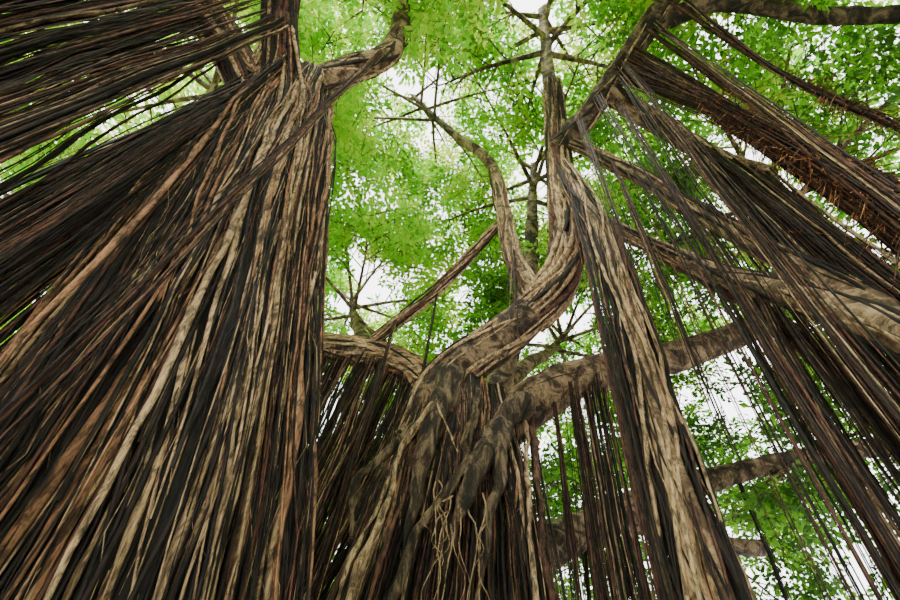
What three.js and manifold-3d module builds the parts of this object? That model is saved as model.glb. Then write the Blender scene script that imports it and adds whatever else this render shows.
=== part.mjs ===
// A small-leaved banyan fig: a fluted trunk, a second stem of fused aerial roots, spreading boughs,
// pillar roots, hanging root bundles and a wide crown of leaf masses.
// The frame is in millimetres with +Z up. The origin is the middle of the trunk's flat cut at ground level.
import * as THREE from "three";
import { mergeVertices } from "three/addons/utils/BufferGeometryUtils.js";
import Module from "manifold-3d";

const wasm = await Module();
wasm.setup();

// Driving dimensions. Places and radii in the tables below are in metres.
const METRE = 1000;
const CLEAR = 0.3; // gap between pieces that touch
const SLIVER = 0.1; // points that stand out less than this are dropped
const UP = new THREE.Vector3(0, 0, 1);
const GOLDEN_TURN = Math.PI * (3 - Math.sqrt(5));

const BOUGH_SIDES = 6;
const TWIG_SIDES = 3;
const STRAND_SIDES = 4;
const STEM_STEPS = 3;

const stems = {
  trunk: {
    path: [[0, 0, 0], [0.02, 0, 1.6], [0.08, 0, 3.6], [0.1, 0, 6.3]],
    radii: [1.5, 1, 0.86, 0.9, 0.66],
    flutes: 8,
    depth: 0.1,
    sides: 24,
    steps: 9,
  },
  left_stem: {
    path: [[-1.75, -2.2, 0], [-1.95, -2.35, 2.5], [-2.5, -2.75, 5.5], [-3.05, -3.15, 9]],
    radii: [1.45, 0.96, 0.82, 0.68, 0.5],
    flutes: 7,
    depth: 0.12,
    sides: 21,
    steps: 8,
  },
};

// The crown's leaf masses stand in three rings round a point between the stems.
const crown = {
  middle: [0, -2],
  rings: [
    { ring: "rim", count: 9, turn: 15, out: 10.3, height: 8.3, wide: 4.3, tall: 3.2 },
    { ring: "mid", count: 6, turn: 0, out: 6.1, height: 12, wide: 4.1, tall: 2.9 },
    { ring: "top", count: 3, turn: 50, out: 2.2, height: 14.8, wide: 3.7, tall: 2.7 },
  ],
  borderGap: 0.12,
  stemStop: 2.3,
};

// A bough runs from a foot inside its parent, over its knees, towards the mass that it feeds.
// One with no mass has its tip as its last knee.
const boughs = [
  { name: "bough_rising", from: "trunk", feeds: "top_290", thick: 0.34, thin: 0.17,
    foot: [-0.42, -0.1, 5.5], knees: [[-0.2, -0.42, 6.35], [0.5, -0.72, 7.05], [1.34, -1.25, 8.15], [1.3, -2.15, 11.2]] },
  { name: "bough_right", from: "trunk", feeds: "mid_000", thick: 0.36, thin: 0.18,
    foot: [0.15, 0.15, 5.5], knees: [[1.6, 0, 7.05], [3.9, -0.2, 8.15], [5.7, -0.6, 9.3]] },
  { name: "bough_left", from: "trunk", feeds: "rim_175", thick: 0.32, thin: 0.14,
    foot: [-0.1, 0.4, 5.4], knees: [[-0.35, 1, 7.4], [-1.3, 1.1, 8.1], [-4, 1.2, 8.3]] },
  { name: "bough_low", from: "trunk", feeds: "rim_015", thick: 0.32, thin: 0.15,
    foot: [0.5, 0.4, 4.1], knees: [[1.6, 1.3, 5.15], [3.64, 2, 6.65], [6.4, 1.9, 7.85]] },
  { name: "bough_low_fork", from: "bough_low", feeds: "rim_055", thick: 0.17, thin: 0.11,
    foot: [2.9, 1.75, 6.1], knees: [[4.6, 2.3, 6.2], [5.9, 2.7, 6.5]] },
  { name: "bough_back", from: "trunk", feeds: "rim_095", thick: 0.3, thin: 0.14,
    foot: [0, 0.4, 4.6], knees: [[-0.1, 2, 6], [-0.4, 4.2, 7.2]] },
  { name: "bough_back_left", from: "trunk", feeds: "rim_135", thick: 0.3, thin: 0.14,
    foot: [-0.4, 0.4, 4.4], knees: [[-1.5, 1.5, 5.7], [-3.2, 2.9, 7]] },
  { name: "bough_inner", from: "trunk", feeds: "top_050", thick: 0.26, thin: 0.15,
    foot: [0.35, 0.45, 5.4], knees: [[0.75, 0.85, 7.6], [1.3, 0.5, 10.6]] },
  { name: "bough_back_rising", from: "bough_inner", feeds: "mid_060", thick: 0.19, thin: 0.12,
    foot: [0.7, 0.8, 7.3], knees: [[1.5, 1.7, 9.2]] },
  { name: "bough_left_rising", from: "bough_left", feeds: "mid_120", thick: 0.18, thin: 0.12,
    foot: [-1.6, 1.12, 8.15], knees: [[-2.1, 1.9, 9.5]] },
  { name: "bough_middle", from: "bough_rising", feeds: "top_170", thick: 0.17, thin: 0.1,
    foot: [1.02, -1.02, 7.75], knees: [[0.66, -1, 8.9], [0.46, -1.1, 10.1], [0.05, -1.4, 12]] },
  { name: "bough_crossing", from: "bough_rising", feeds: "rim_295", thick: 0.22, thin: 0.12,
    foot: [1.27, -2.2, 11.15], knees: [[1.85, -3, 11.6], [2.6, -4.7, 12.1], [3.5, -7, 11.3]] },
  { name: "bough_front_fork", from: "bough_crossing", feeds: "mid_300", thick: 0.14, thin: 0.1, stop: 1,
    foot: [2.6, -4.7, 12.1], knees: [[2.72, -5.3, 12.35]] },
  { name: "bough_front_right", from: "bough_crossing", feeds: "rim_335", thick: 0.17, thin: 0.1,
    foot: [2.45, -4.35, 12.05], knees: [[3.5, -4.9, 12], [5.1, -5, 11.3]] },
  { name: "bough_drooping", from: "bough_crossing", feeds: null, thick: 0.2, thin: 0.15,
    foot: [1.95, -3.25, 11.75], knees: [[2.95, -2.98, 11.1], [4.04, -2.7, 10.5], [4.8, -2.65, 10.2]] },
  { name: "stem_bough_inner", from: "left_stem", feeds: "mid_240", thick: 0.24, thin: 0.12,
    foot: [-3.05, -3.15, 8.6], knees: [[-2.5, -3.4, 9.45], [-1.95, -3.6, 10.4], [-1.95, -4.2, 11.4]] },
  { name: "stem_bough_rising", from: "left_stem", feeds: "mid_180", thick: 0.24, thin: 0.13,
    foot: [-3.05, -3.1, 8.2], knees: [[-4, -2.75, 9.2], [-4.9, -2.45, 10]] },
  { name: "stem_bough_outer", from: "left_stem", feeds: "rim_215", thick: 0.26, thin: 0.13,
    foot: [-2.95, -3.1, 7.7], knees: [[-4.2, -4, 8.9], [-5.8, -5.3, 9.3]] },
  { name: "stem_bough_front", from: "left_stem", feeds: "rim_255", thick: 0.23, thin: 0.12,
    foot: [-2.95, -3.15, 8.1], knees: [[-3.2, -4.6, 9.1], [-3.3, -7.2, 9.8]] },
];

// Pillar roots are single columns, listed from the ground up into the limb that let them down.
const pillars = [
  { name: "pillar_root", into: ["bough_rising"], radii: [0.34, 0.24, 0.2, 0.22, 0.16],
    path: [[1.72, -2.16, 0], [1.7, -2.16, 4], [1.66, -2.16, 8], [1.36, -2.06, 10.7]] },
  { name: "prop_root_upper", into: ["bough_rising"], radii: [0.24, 0.18, 0.14, 0.12, 0.1],
    path: [[3.75, -3.95, 0], [3.55, -3.2, 5.2], [3.2, -2.6, 8], [2.2, -2.45, 10.1], [1.32, -2.35, 11.35]] },
  { name: "prop_root_lower", into: ["pillar_root"], radii: [0.22, 0.17, 0.14, 0.12, 0.1],
    path: [[3.4, -4.5, 0], [3.12, -3.45, 4.6], [2.75, -2.4, 7.1], [1.68, -2.16, 8.4]] },
];

// Hanging roots leave a stretch of a limb, given as two shares of its length, and run to a line of feet.
// Those with a free end stop above the ground.
const hangings = [
  { name: "roots_high_bundle", on: "bough_crossing", shares: [0.2, 0.26], strands: 4, radius: 0.1, header: 0.13,
    feet: [[4.2, -3.75, 2.2], [4.7, -3.6, 2.2]], bend: [3.1, -3.85, 8.4] },
  { name: "roots_drooping", on: "bough_drooping", shares: [0.55, 0.98], strands: 5, radius: 0.085, header: 0.12,
    feet: [[4.15, -2.95, 0], [5.15, -2.85, 0]] },
  { name: "roots_slanting", on: "prop_root_lower", shares: [0.86, 0.9], strands: 3, radius: 0.08, header: 0.1,
    feet: [[4.55, -2.35, 0], [5, -2.2, 0]], bend: [3.42, -2.28, 6.35] },
  { name: "roots_plumb", on: "prop_root_lower", shares: [0.72, 0.76], strands: 2, radius: 0.06, header: 0.09,
    feet: [[2.55, -2.5, 0], [2.75, -2.6, 0]] },
  { name: "roots_thin_upper", on: "bough_crossing", shares: [0.36, 0.38], strands: 2, radius: 0.06, header: 0.07,
    feet: [[5.45, -4.25, 3.4], [5.55, -4.2, 3.4]], bend: [3.95, -4.3, 10.1] },
  { name: "roots_thin_lower", on: "bough_crossing", shares: [0.3, 0.32], strands: 2, radius: 0.06, header: 0.07,
    feet: [[5, -3.85, 3], [5.1, -3.8, 3]], bend: [3.45, -3.95, 9] },
  { name: "roots_trunk_left", on: "bough_left", shares: [0.2, 0.46], strands: 6, radius: 0.1, header: 0.13,
    feet: [[-1.7, 0.55, 0], [-2.6, 1.1, 0]] },
  { name: "roots_trunk_front", on: "bough_right", shares: [0.11, 0.19], strands: 3, radius: 0.07, header: 0.09,
    feet: [[0.5, -1.68, 0], [0.95, -1.52, 0]] },
  { name: "roots_trunk_right", on: "bough_right", shares: [0.3, 0.38], strands: 3, radius: 0.07, header: 0.1,
    feet: [[1.75, -0.15, 0], [2.2, -0.25, 0]] },
  { name: "roots_low", on: "bough_low", shares: [0.3, 0.42], strands: 3, radius: 0.07, header: 0.1,
    feet: [[2.5, 1.65, 0], [3.5, 2, 0]] },
  { name: "roots_left_inner", on: "stem_bough_rising", shares: [0.3, 0.86], strands: 6, radius: 0.1, header: 0.14,
    feet: [[-3.6, -2.75, 0], [-5.2, -2.35, 0]] },
  { name: "roots_left_outer", on: "stem_bough_outer", shares: [0.24, 0.8], strands: 7, radius: 0.12, header: 0.15,
    feet: [[-3.65, -3.75, 0], [-5.6, -5.2, 0]] },
  { name: "roots_front_left", on: "stem_bough_front", shares: [0.6, 0.72], strands: 3, radius: 0.07, header: 0.1,
    feet: [[-3.25, -6.6, 0], [-3.4, -7.3, 0]] },
  { name: "roots_far_left", on: "bough_left", shares: [0.74, 0.84], strands: 3, radius: 0.07, header: 0.1,
    feet: [[-5.4, 0.95, 0], [-6.4, 0.75, 0]] },
  { name: "roots_back", on: "bough_back", shares: [0.6, 0.72], strands: 3, radius: 0.07, header: 0.1,
    feet: [[-0.4, 3.6, 0], [-0.5, 4.5, 0]] },
  { name: "roots_back_left", on: "bough_back_left", shares: [0.58, 0.7], strands: 3, radius: 0.07, header: 0.1,
    feet: [[-2.7, 2.6, 0], [-3.4, 3.2, 0]] },
];

// The slanting strut of fused roots between two boughs.
const strut = { name: "roots_strut", from: "bough_middle", to: "bough_left", fromShare: 0.42, toShare: 0.37,
  thick: 0.11, thin: 0.08, sag: 0.25 };

// How a leaf mass branches from its stem. A leaf stands for a spray.
const growth = {
  twigs: { rim: 6, mid: 6, top: 6 },
  reach: 0.62,
  twigRadius: 0.07,
  leafPlaces: [[0.97, 0], [0.92, 1.2], [0.78, -1.15], [0.58, 1.1]], // share of the twig's length, turn aside
  leafLength: 2.5,
  leafWidth: 1.7,
  leafThick: 0.08,
  leafSunk: 0.02,
  leafWidest: 0.55,
  leafSizes: [1, 0.84, 0.68],
  droop: 0.4,
};

const materials = {
  bark: new THREE.MeshStandardMaterial({ color: 0x8a7560, roughness: 0.9, metalness: 0 }),
  root: new THREE.MeshStandardMaterial({ color: 0x5b4435, roughness: 0.92, metalness: 0 }),
  pale_root: new THREE.MeshStandardMaterial({ color: 0xa58e70, roughness: 0.88, metalness: 0 }),
  leaf: new THREE.MeshStandardMaterial({ color: 0x5f9c2c, roughness: 0.6, metalness: 0 }),
};

// A number from 0 to 1 that depends only on its seeds.
function chance(a, b = 0, c = 0) {
  const wave = Math.sin(a * 127.1 + b * 311.7 + c * 74.7) * 43758.5453;
  return wave - Math.floor(wave);
}

function at([x, y, z]) {
  return new THREE.Vector3(x, y, z).multiplyScalar(METRE);
}

function smooth(points) {
  return new THREE.CatmullRomCurve3(points, false, "centripetal");
}

// Radius in millimetres at a share of the length, from an even row of radii in metres.
function profile(radii) {
  return (share) => {
    const place = share * (radii.length - 1);
    const low = Math.min(Math.floor(place), radii.length - 2);
    return THREE.MathUtils.lerp(radii[low], radii[low + 1], place - low) * METRE;
  };
}

// A closed limb: a cylinder bent along a curve. Level rings give a flat cut at the ground.
// A grown limb is wider and longer all round by the gap that its neighbours keep.
function limb({ curve, sides, steps, radius, flutes = 0, depth = 0, level = false, grow = 0 }) {
  const shape = new THREE.CylinderGeometry(1, 1, 1, sides, steps);
  const place = shape.getAttribute("position");
  const frames = curve.computeFrenetFrames(steps);
  for (let i = 0; i < place.count; i++) {
    const share = place.getY(i) + 0.5;
    const step = Math.round(share * steps);
    const side = level ? new THREE.Vector3(1, 0, 0) : frames.normals[step];
    const other = level ? new THREE.Vector3(0, 1, 0) : frames.binormals[step];
    const turn = Math.atan2(place.getZ(i), place.getX(i));
    const fluted = 1 + depth * Math.cos(flutes * turn) * (1 - 0.4 * share);
    const reach = radius(share) * fluted + grow;
    const point = curve.getPointAt(share);
    if (share === 0) point.addScaledVector(frames.tangents[step], -grow);
    if (share === 1) point.addScaledVector(frames.tangents[step], grow);
    point.addScaledVector(side, place.getX(i) * reach);
    point.addScaledVector(other, -place.getZ(i) * reach);
    place.setXYZ(i, point.x, point.y, point.z);
  }
  return solid(shape);
}

// The point at a share of a faceted limb's axis, which cuts the corners of its curve.
function onLimb(curve, steps, share) {
  const step = Math.min(Math.floor(share * steps), steps - 1);
  return curve.getPointAt(step / steps).lerp(curve.getPointAt((step + 1) / steps), share * steps - step);
}

function solid(shape) {
  shape.deleteAttribute("normal");
  shape.deleteAttribute("uv");
  const merged = mergeVertices(shape, 1e-3);
  return new wasm.Manifold(
    new wasm.Mesh({
      numProp: 3,
      vertProperties: merged.getAttribute("position").array,
      triVerts: new Uint32Array(merged.index.array),
    }),
  );
}

// The largest body of a solid, so that no loose scrap and no sealed hollow is left.
function whole(shape) {
  const bodies = shape.simplify(SLIVER).decompose();
  return bodies.reduce((most, body) => (body.volume() > most.volume() ? body : most), bodies[0]);
}

function touches(shape, other) {
  return shape.intersect(other).volume() > 1;
}

function boxesMeet(a, b) {
  const p = a.boundingBox();
  const q = b.boundingBox();
  return [0, 1, 2].every((axis) => p.min[axis] <= q.max[axis] && q.min[axis] <= p.max[axis]);
}

// Everything made so far: its solid, and the same solid grown by the gap that its neighbours keep.
const standing = [];

function keep(name, material, build, curve, radius) {
  const bare = build(0);
  const cutters = standing.filter((other) => boxesMeet(bare, other.grown)).map((other) => other.grown);
  const cut = cutters.length ? bare.subtract(wasm.Manifold.union(cutters)) : bare;
  const made = { name, material, shape: whole(cut), grown: build(CLEAR), curve, radius };
  standing.push(made);
  return made;
}

function named(name) {
  return standing.find((made) => made.name === name);
}

function makeStem(name, { path, radii, flutes, depth, sides, steps }) {
  const curve = smooth(path.map(at));
  const radius = profile(radii);
  const build = (grow) => limb({ curve, sides, steps, radius, flutes, depth, level: true, grow });
  keep(name, materials.bark, build, curve, radius);
}

// The ellipsoid space of each leaf mass.
function massSpaces() {
  return crown.rings.flatMap(({ ring, count, turn, out, height, wide, tall }) =>
    Array.from({ length: count }, (_, i) => {
      const degrees = turn + (360 / count) * i;
      const bearing = THREE.MathUtils.degToRad(degrees);
      const middle = [crown.middle[0] + out * Math.cos(bearing), crown.middle[1] + out * Math.sin(bearing), height];
      const size = new THREE.Vector3(wide, wide, tall).multiplyScalar(METRE);
      const name = ring + "_" + String(degrees).padStart(3, "0");
      return { name, middle: at(middle), size, seed: degrees + height, count: growth.twigs[ring] };
    }),
  );
}

const spaces = massSpaces();

function makeBough({ name, feeds, thick, thin, foot, knees, stop = crown.stemStop }) {
  const points = [foot, ...knees].map(at);
  if (feeds) {
    const { middle } = spaces.find((space) => space.name === feeds);
    const inwards = points.at(-1).clone().sub(middle);
    points.push(middle.clone().addScaledVector(inwards.normalize(), stop * METRE));
  }
  const curve = smooth(points);
  const steps = 2 * (points.length - 1);
  const radius = profile([thick, thin]);
  const build = (grow) => limb({ curve, sides: BOUGH_SIDES, steps, radius, grow });
  keep(name, materials.bark, build, curve, radius);
}

function makePillar({ name, radii, path }) {
  const curve = smooth(path.map(at));
  const radius = profile(radii);
  const build = (grow) => limb({ curve, sides: BOUGH_SIDES, steps: 7, radius, level: true, grow });
  keep(name, materials.pale_root, build, curve, radius);
}

// The line of a root's fastening under its limb, as a curve along the limb's underside.
function underside(parent, shares) {
  const points = [0, 0.5, 1].map((part) => {
    const share = THREE.MathUtils.lerp(shares[0], shares[1], part);
    const point = parent.curve.getPointAt(share);
    point.z -= parent.radius(share) * 0.9;
    return point;
  });
  return smooth(points);
}

function makeHanging({ name, on, shares, strands, radius, header, feet, bend }) {
  const parent = named(on);
  const top = underside(parent, shares);
  const [first, last] = feet.map(at);
  const build = (grow) => {
    const parts = [limb({ curve: top, sides: 5, steps: 2, radius: () => header * METRE, grow })];
    for (let i = 0; i < strands; i++) {
      const share = strands > 1 ? i / (strands - 1) : 0.5;
      const inner = 0.06 + 0.88 * share;
      const head = top.getPointAt(inner);
      const foot = first.clone().lerp(last, share);
      const jitter = (chance(strands, i, header) - 0.5) * radius * METRE;
      foot.x += jitter;
      foot.y -= jitter;
      const middle = bend ? at(bend) : foot.clone().lerp(head, 0.55);
      middle.x += jitter + (bend ? (share - 0.5) * radius * 2.6 * strands * METRE : 0);
      middle.y -= jitter;
      const curve = smooth([foot, middle, head]);
      const steps = bend ? 4 : 2;
      const wide = profile([radius, radius * 0.8, radius * 0.85]);
      parts.push(limb({ curve, sides: STRAND_SIDES, steps, radius: wide, level: true, grow }));
    }
    return wasm.Manifold.union(parts);
  };
  keep(name, materials.root, build, top, () => header * METRE);
}

function makeStrut({ name, from, to, fromShare, toShare, thick, thin, sag }) {
  const start = named(to).curve.getPointAt(toShare);
  const end = named(from).curve.getPointAt(fromShare);
  const middle = start.clone().lerp(end, 0.5);
  middle.z -= sag * METRE;
  const curve = smooth([start, middle, end]);
  const radius = profile([thick, thin]);
  const build = (grow) => limb({ curve, sides: 5, steps: 4, radius, grow });
  keep(name, materials.root, build, curve, radius);
}

// A leaf of 6 faces: a long lozenge with a raised midrib, its foot sunk to the twig's axis.
function leafSolid(foot, along, size, seed) {
  const { leafLength, leafWidth, leafThick, leafSunk, leafWidest } = growth;
  const scale = size * METRE;
  const forward = along.clone().normalize();
  const level = UP.clone().cross(forward);
  const across = (level.length() > 0.05 ? level : new THREE.Vector3(1, 0, 0)).normalize();
  across.applyAxisAngle(forward, (chance(seed, 6) - 0.5) * 1.2);
  const up = forward.clone().cross(across);
  const corner = (ahead, aside, above) => {
    const point = foot.clone().addScaledVector(forward, (ahead * leafLength - leafSunk) * scale);
    return point.addScaledVector(across, aside * leafWidth * scale).addScaledVector(up, above * leafThick * scale);
  };
  const corners = [
    corner(0, 0, 0),
    corner(leafWidest, 0.5, 0),
    corner(leafWidest, 0, 1),
    corner(leafWidest, -0.5, 0),
    corner(1, 0, 0),
  ];
  const shape = new THREE.BufferGeometry().setFromPoints(corners);
  shape.setIndex([0, 1, 3, 0, 3, 2, 0, 2, 1, 4, 3, 1, 4, 2, 3, 4, 1, 2]);
  return solid(shape);
}

// Whether each corner of a solid lies in a mass's own space: nearer to its middle than to any other's.
function inSpace(shape, space) {
  const { vertProperties } = shape.getMesh();
  const point = new THREE.Vector3();
  const away = (other) => point.clone().sub(other.middle).divide(other.size).length();
  for (let i = 0; i < vertProperties.length; i += 3) {
    point.fromArray(vertProperties, i);
    const own = away(space);
    const border = crown.borderGap / 2;
    if (own > 1.02 || spaces.some((other) => other !== space && away(other) < own + border)) return false;
  }
  return true;
}

// The stem of a mass carries on from its bough's tip, and its twigs turn round it by the golden angle.
function growTwigs({ middle, size, seed, count }, bough, fits) {
  const forward = bough.curve.getTangentAt(1).normalize();
  const start = bough.curve.getPointAt(1).addScaledVector(forward, CLEAR);
  const lead = start.clone().addScaledVector(forward, 0.4 * METRE);
  const stemCurve = smooth([start, lead, middle.clone().setZ(middle.z + 0.15 * size.z)]);
  const thick = bough.radius(1);
  const stem = limb({ curve: stemCurve, sides: 5, steps: STEM_STEPS, radius: (share) => thick * (1 - 0.5 * share) });
  const twigs = [{ part: stem, curve: stemCurve, steps: STEM_STEPS, leafPlaces: [] }];
  const wide = growth.twigRadius * METRE;
  const add = (points) => {
    const curve = smooth(points);
    const steps = points.length - 1;
    const part = limb({ curve, sides: TWIG_SIDES, steps, radius: (share) => wide * (1 - 0.4 * share) });
    if (fits(part)) twigs.push({ part, curve, steps, leafPlaces: growth.leafPlaces });
  };
  for (let i = 0; i < count; i++) {
    const share = (i + 0.5) / count;
    const rise = THREE.MathUtils.lerp(-0.4, 0.95, share);
    const turn = i * GOLDEN_TURN + chance(seed, i) * 0.7;
    const flat = Math.sqrt(1 - rise * rise);
    const heading = new THREE.Vector3(flat * Math.cos(turn), flat * Math.sin(turn), rise);
    const foot = onLimb(stemCurve, STEM_STEPS, 0.4 + 0.56 * share);
    const end = heading.multiply(size).multiplyScalar(growth.reach).add(middle);
    const bow = foot.clone().lerp(end, 0.5);
    bow.z += 0.1 * size.z;
    add([foot, bow, end]);
  }
  return twigs;
}

// A leaf takes the largest size that keeps to the mass's space and clear of all but its own twig.
function growLeaves(twigs, seed, fits) {
  const leaves = [];
  let number = 0;
  for (const twig of twigs) {
    const others = twigs.filter((other) => other !== twig).map((other) => other.part);
    for (const [share, turn] of twig.leafPlaces) {
      number += 1;
      const foot = onLimb(twig.curve, twig.steps, share);
      const along = twig.curve.getTangentAt(share).applyAxisAngle(UP, turn);
      along.z -= growth.droop * chance(seed, number);
      const sizes = growth.leafSizes.map((size) => leafSolid(foot, along, size, seed + number));
      const near = [...others, ...leaves];
      const crowded = (leaf) => near.some((other) => boxesMeet(leaf, other) && touches(leaf, other));
      const chosen = sizes.find((leaf) => fits(leaf) && !crowded(leaf));
      if (chosen) leaves.push(chosen);
    }
  }
  return leaves;
}

// The rule by which a mass grows in its own space, clear of the limbs and roots.
function growMass(space, bough, obstacles) {
  const fits = (part) => inSpace(part, space) && !touches(part, obstacles);
  const twigs = growTwigs(space, bough, fits);
  const leaves = growLeaves(twigs, space.seed, fits);
  const shape = wasm.Manifold.union([...twigs.map((twig) => twig.part), ...leaves]);
  return whole(shape);
}

function meshOf(name, shape, material, origin = new THREE.Vector3()) {
  const { vertProperties, triVerts } = shape.getMesh();
  const geometry = new THREE.BufferGeometry();
  geometry.setAttribute("position", new THREE.BufferAttribute(Float32Array.from(vertProperties), 3));
  geometry.setIndex(new THREE.BufferAttribute(Uint32Array.from(triVerts), 1));
  geometry.translate(-origin.x, -origin.y, -origin.z);
  geometry.computeVertexNormals();
  const mesh = new THREE.Mesh(geometry, material);
  mesh.name = name;
  mesh.position.copy(origin);
  return mesh;
}

for (const [name, spec] of Object.entries(stems)) makeStem(name, spec);
boughs.forEach(makeBough);
pillars.forEach(makePillar);
makeStrut(strut);
hangings.forEach(makeHanging);

const wood = new THREE.Group();
for (const { name, shape, material } of standing) wood.add(meshOf(name, shape, material));

const foliage = new THREE.Group();
const keptClear = wasm.Manifold.union(standing.map((made) => made.grown));
for (const space of spaces) {
  const feeder = boughs.find((bough) => bough.feeds === space.name);
  const shape = growMass(space, named(feeder.name), keptClear);
  foliage.add(meshOf("leaves_" + space.name, shape, materials.leaf, space.middle));
}

const tree = new THREE.Group();
tree.add(wood, foliage);

export default tree;
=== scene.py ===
import math

import bpy
import numpy as np
from bpy.props import FloatProperty, FloatVectorProperty, IntProperty, PointerProperty
from mathutils import Matrix, Vector


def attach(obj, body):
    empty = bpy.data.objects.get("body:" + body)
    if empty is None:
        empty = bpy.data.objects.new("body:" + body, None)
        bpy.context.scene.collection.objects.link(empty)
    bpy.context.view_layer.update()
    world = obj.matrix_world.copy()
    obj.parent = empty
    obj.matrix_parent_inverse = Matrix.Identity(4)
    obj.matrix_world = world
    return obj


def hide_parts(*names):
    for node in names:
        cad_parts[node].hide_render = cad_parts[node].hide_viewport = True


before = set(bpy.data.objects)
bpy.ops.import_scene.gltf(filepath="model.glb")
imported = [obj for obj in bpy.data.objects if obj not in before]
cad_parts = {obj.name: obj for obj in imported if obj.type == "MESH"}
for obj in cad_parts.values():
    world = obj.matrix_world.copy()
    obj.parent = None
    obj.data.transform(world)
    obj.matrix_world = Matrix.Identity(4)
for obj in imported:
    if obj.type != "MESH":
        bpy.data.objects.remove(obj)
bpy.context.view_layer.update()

bl_info = {
    "name": "Banyan Fig",
    "version": (1, 0, 0),
    "blender": (4, 5, 0),
    "location": "View3D > Sidebar > Banyan",
    "description": "Grows bark, aerial roots, twigs and leaves on the solids of a small-leaved banyan fig",
    "category": "Object",
}

# The rule of the part's source, in metres.
GOLDEN_TURN = math.pi * (3 - math.sqrt(5))
UP = np.array([0.0, 0.0, 1.0])

STEMS = {
    "trunk": dict(path=[(0, 0, 0), (0.02, 0, 1.6), (0.08, 0, 3.6), (0.1, 0, 6.3)],
                  radii=(1.5, 1, 0.86, 0.9, 0.66), flutes=8, depth=0.1),
    "left_stem": dict(path=[(-1.75, -2.2, 0), (-1.95, -2.35, 2.5), (-2.5, -2.75, 5.5), (-3.05, -3.15, 9)],
                      radii=(1.45, 0.96, 0.82, 0.68, 0.5), flutes=7, depth=0.12),
}

CROWN_MIDDLE = (0, -2)
STEM_STOP = 2.3
CROWN_TOP = 16.5
RINGS = [
    dict(ring="rim", count=9, turn=15, out=10.3, height=8.3, wide=4.3, tall=3.2),
    dict(ring="mid", count=6, turn=0, out=6.1, height=12, wide=4.1, tall=2.9),
    dict(ring="top", count=3, turn=50, out=2.2, height=14.8, wide=3.7, tall=2.7),
]

# name: (mass that it feeds, thick, thin, foot, knees, stop)
BOUGHS = {
    "bough_rising": ("top_290", 0.34, 0.17, (-0.42, -0.1, 5.5),
                     [(-0.2, -0.42, 6.35), (0.5, -0.72, 7.05), (1.34, -1.25, 8.15), (1.3, -2.15, 11.2)]),
    "bough_right": ("mid_000", 0.36, 0.18, (0.15, 0.15, 5.5),
                    [(1.6, 0, 7.05), (3.9, -0.2, 8.15), (5.7, -0.6, 9.3)]),
    "bough_left": ("rim_175", 0.32, 0.14, (-0.1, 0.4, 5.4),
                   [(-0.35, 1, 7.4), (-1.3, 1.1, 8.1), (-4, 1.2, 8.3)]),
    "bough_low": ("rim_015", 0.32, 0.15, (0.5, 0.4, 4.1),
                  [(1.6, 1.3, 5.15), (3.64, 2, 6.65), (6.4, 1.9, 7.85)]),
    "bough_low_fork": ("rim_055", 0.17, 0.11, (2.9, 1.75, 6.1), [(4.6, 2.3, 6.2), (5.9, 2.7, 6.5)]),
    "bough_back": ("rim_095", 0.3, 0.14, (0, 0.4, 4.6), [(-0.1, 2, 6), (-0.4, 4.2, 7.2)]),
    "bough_back_left": ("rim_135", 0.3, 0.14, (-0.4, 0.4, 4.4), [(-1.5, 1.5, 5.7), (-3.2, 2.9, 7)]),
    "bough_inner": ("top_050", 0.26, 0.15, (0.35, 0.45, 5.4), [(0.75, 0.85, 7.6), (1.3, 0.5, 10.6)]),
    "bough_back_rising": ("mid_060", 0.19, 0.12, (0.7, 0.8, 7.3), [(1.5, 1.7, 9.2)]),
    "bough_left_rising": ("mid_120", 0.18, 0.12, (-1.6, 1.12, 8.15), [(-2.1, 1.9, 9.5)]),
    "bough_middle": ("top_170", 0.17, 0.1, (1.02, -1.02, 7.75),
                     [(0.66, -1, 8.9), (0.46, -1.1, 10.1), (0.05, -1.4, 12)]),
    "bough_crossing": ("rim_295", 0.22, 0.12, (1.27, -2.2, 11.15),
                       [(1.85, -3, 11.6), (2.6, -4.7, 12.1), (3.5, -7, 11.3)]),
    "bough_front_fork": ("mid_300", 0.14, 0.1, (2.6, -4.7, 12.1), [(2.72, -5.3, 12.35)], 1),
    "bough_front_right": ("rim_335", 0.17, 0.1, (2.45, -4.35, 12.05), [(3.5, -4.9, 12), (5.1, -5, 11.3)]),
    "bough_drooping": (None, 0.2, 0.15, (1.95, -3.25, 11.75),
                       [(2.95, -2.98, 11.1), (4.04, -2.7, 10.5), (4.8, -2.65, 10.2)]),
    "stem_bough_inner": ("mid_240", 0.24, 0.12, (-3.05, -3.15, 8.6),
                         [(-2.5, -3.4, 9.45), (-1.95, -3.6, 10.4), (-1.95, -4.2, 11.4)]),
    "stem_bough_rising": ("mid_180", 0.24, 0.13, (-3.05, -3.1, 8.2), [(-4, -2.75, 9.2), (-4.9, -2.45, 10)]),
    "stem_bough_outer": ("rim_215", 0.26, 0.13, (-2.95, -3.1, 7.7), [(-4.2, -4, 8.9), (-5.8, -5.3, 9.3)]),
    "stem_bough_front": ("rim_255", 0.23, 0.12, (-2.95, -3.15, 8.1), [(-3.2, -4.6, 9.1), (-3.3, -7.2, 9.8)]),
}

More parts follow.
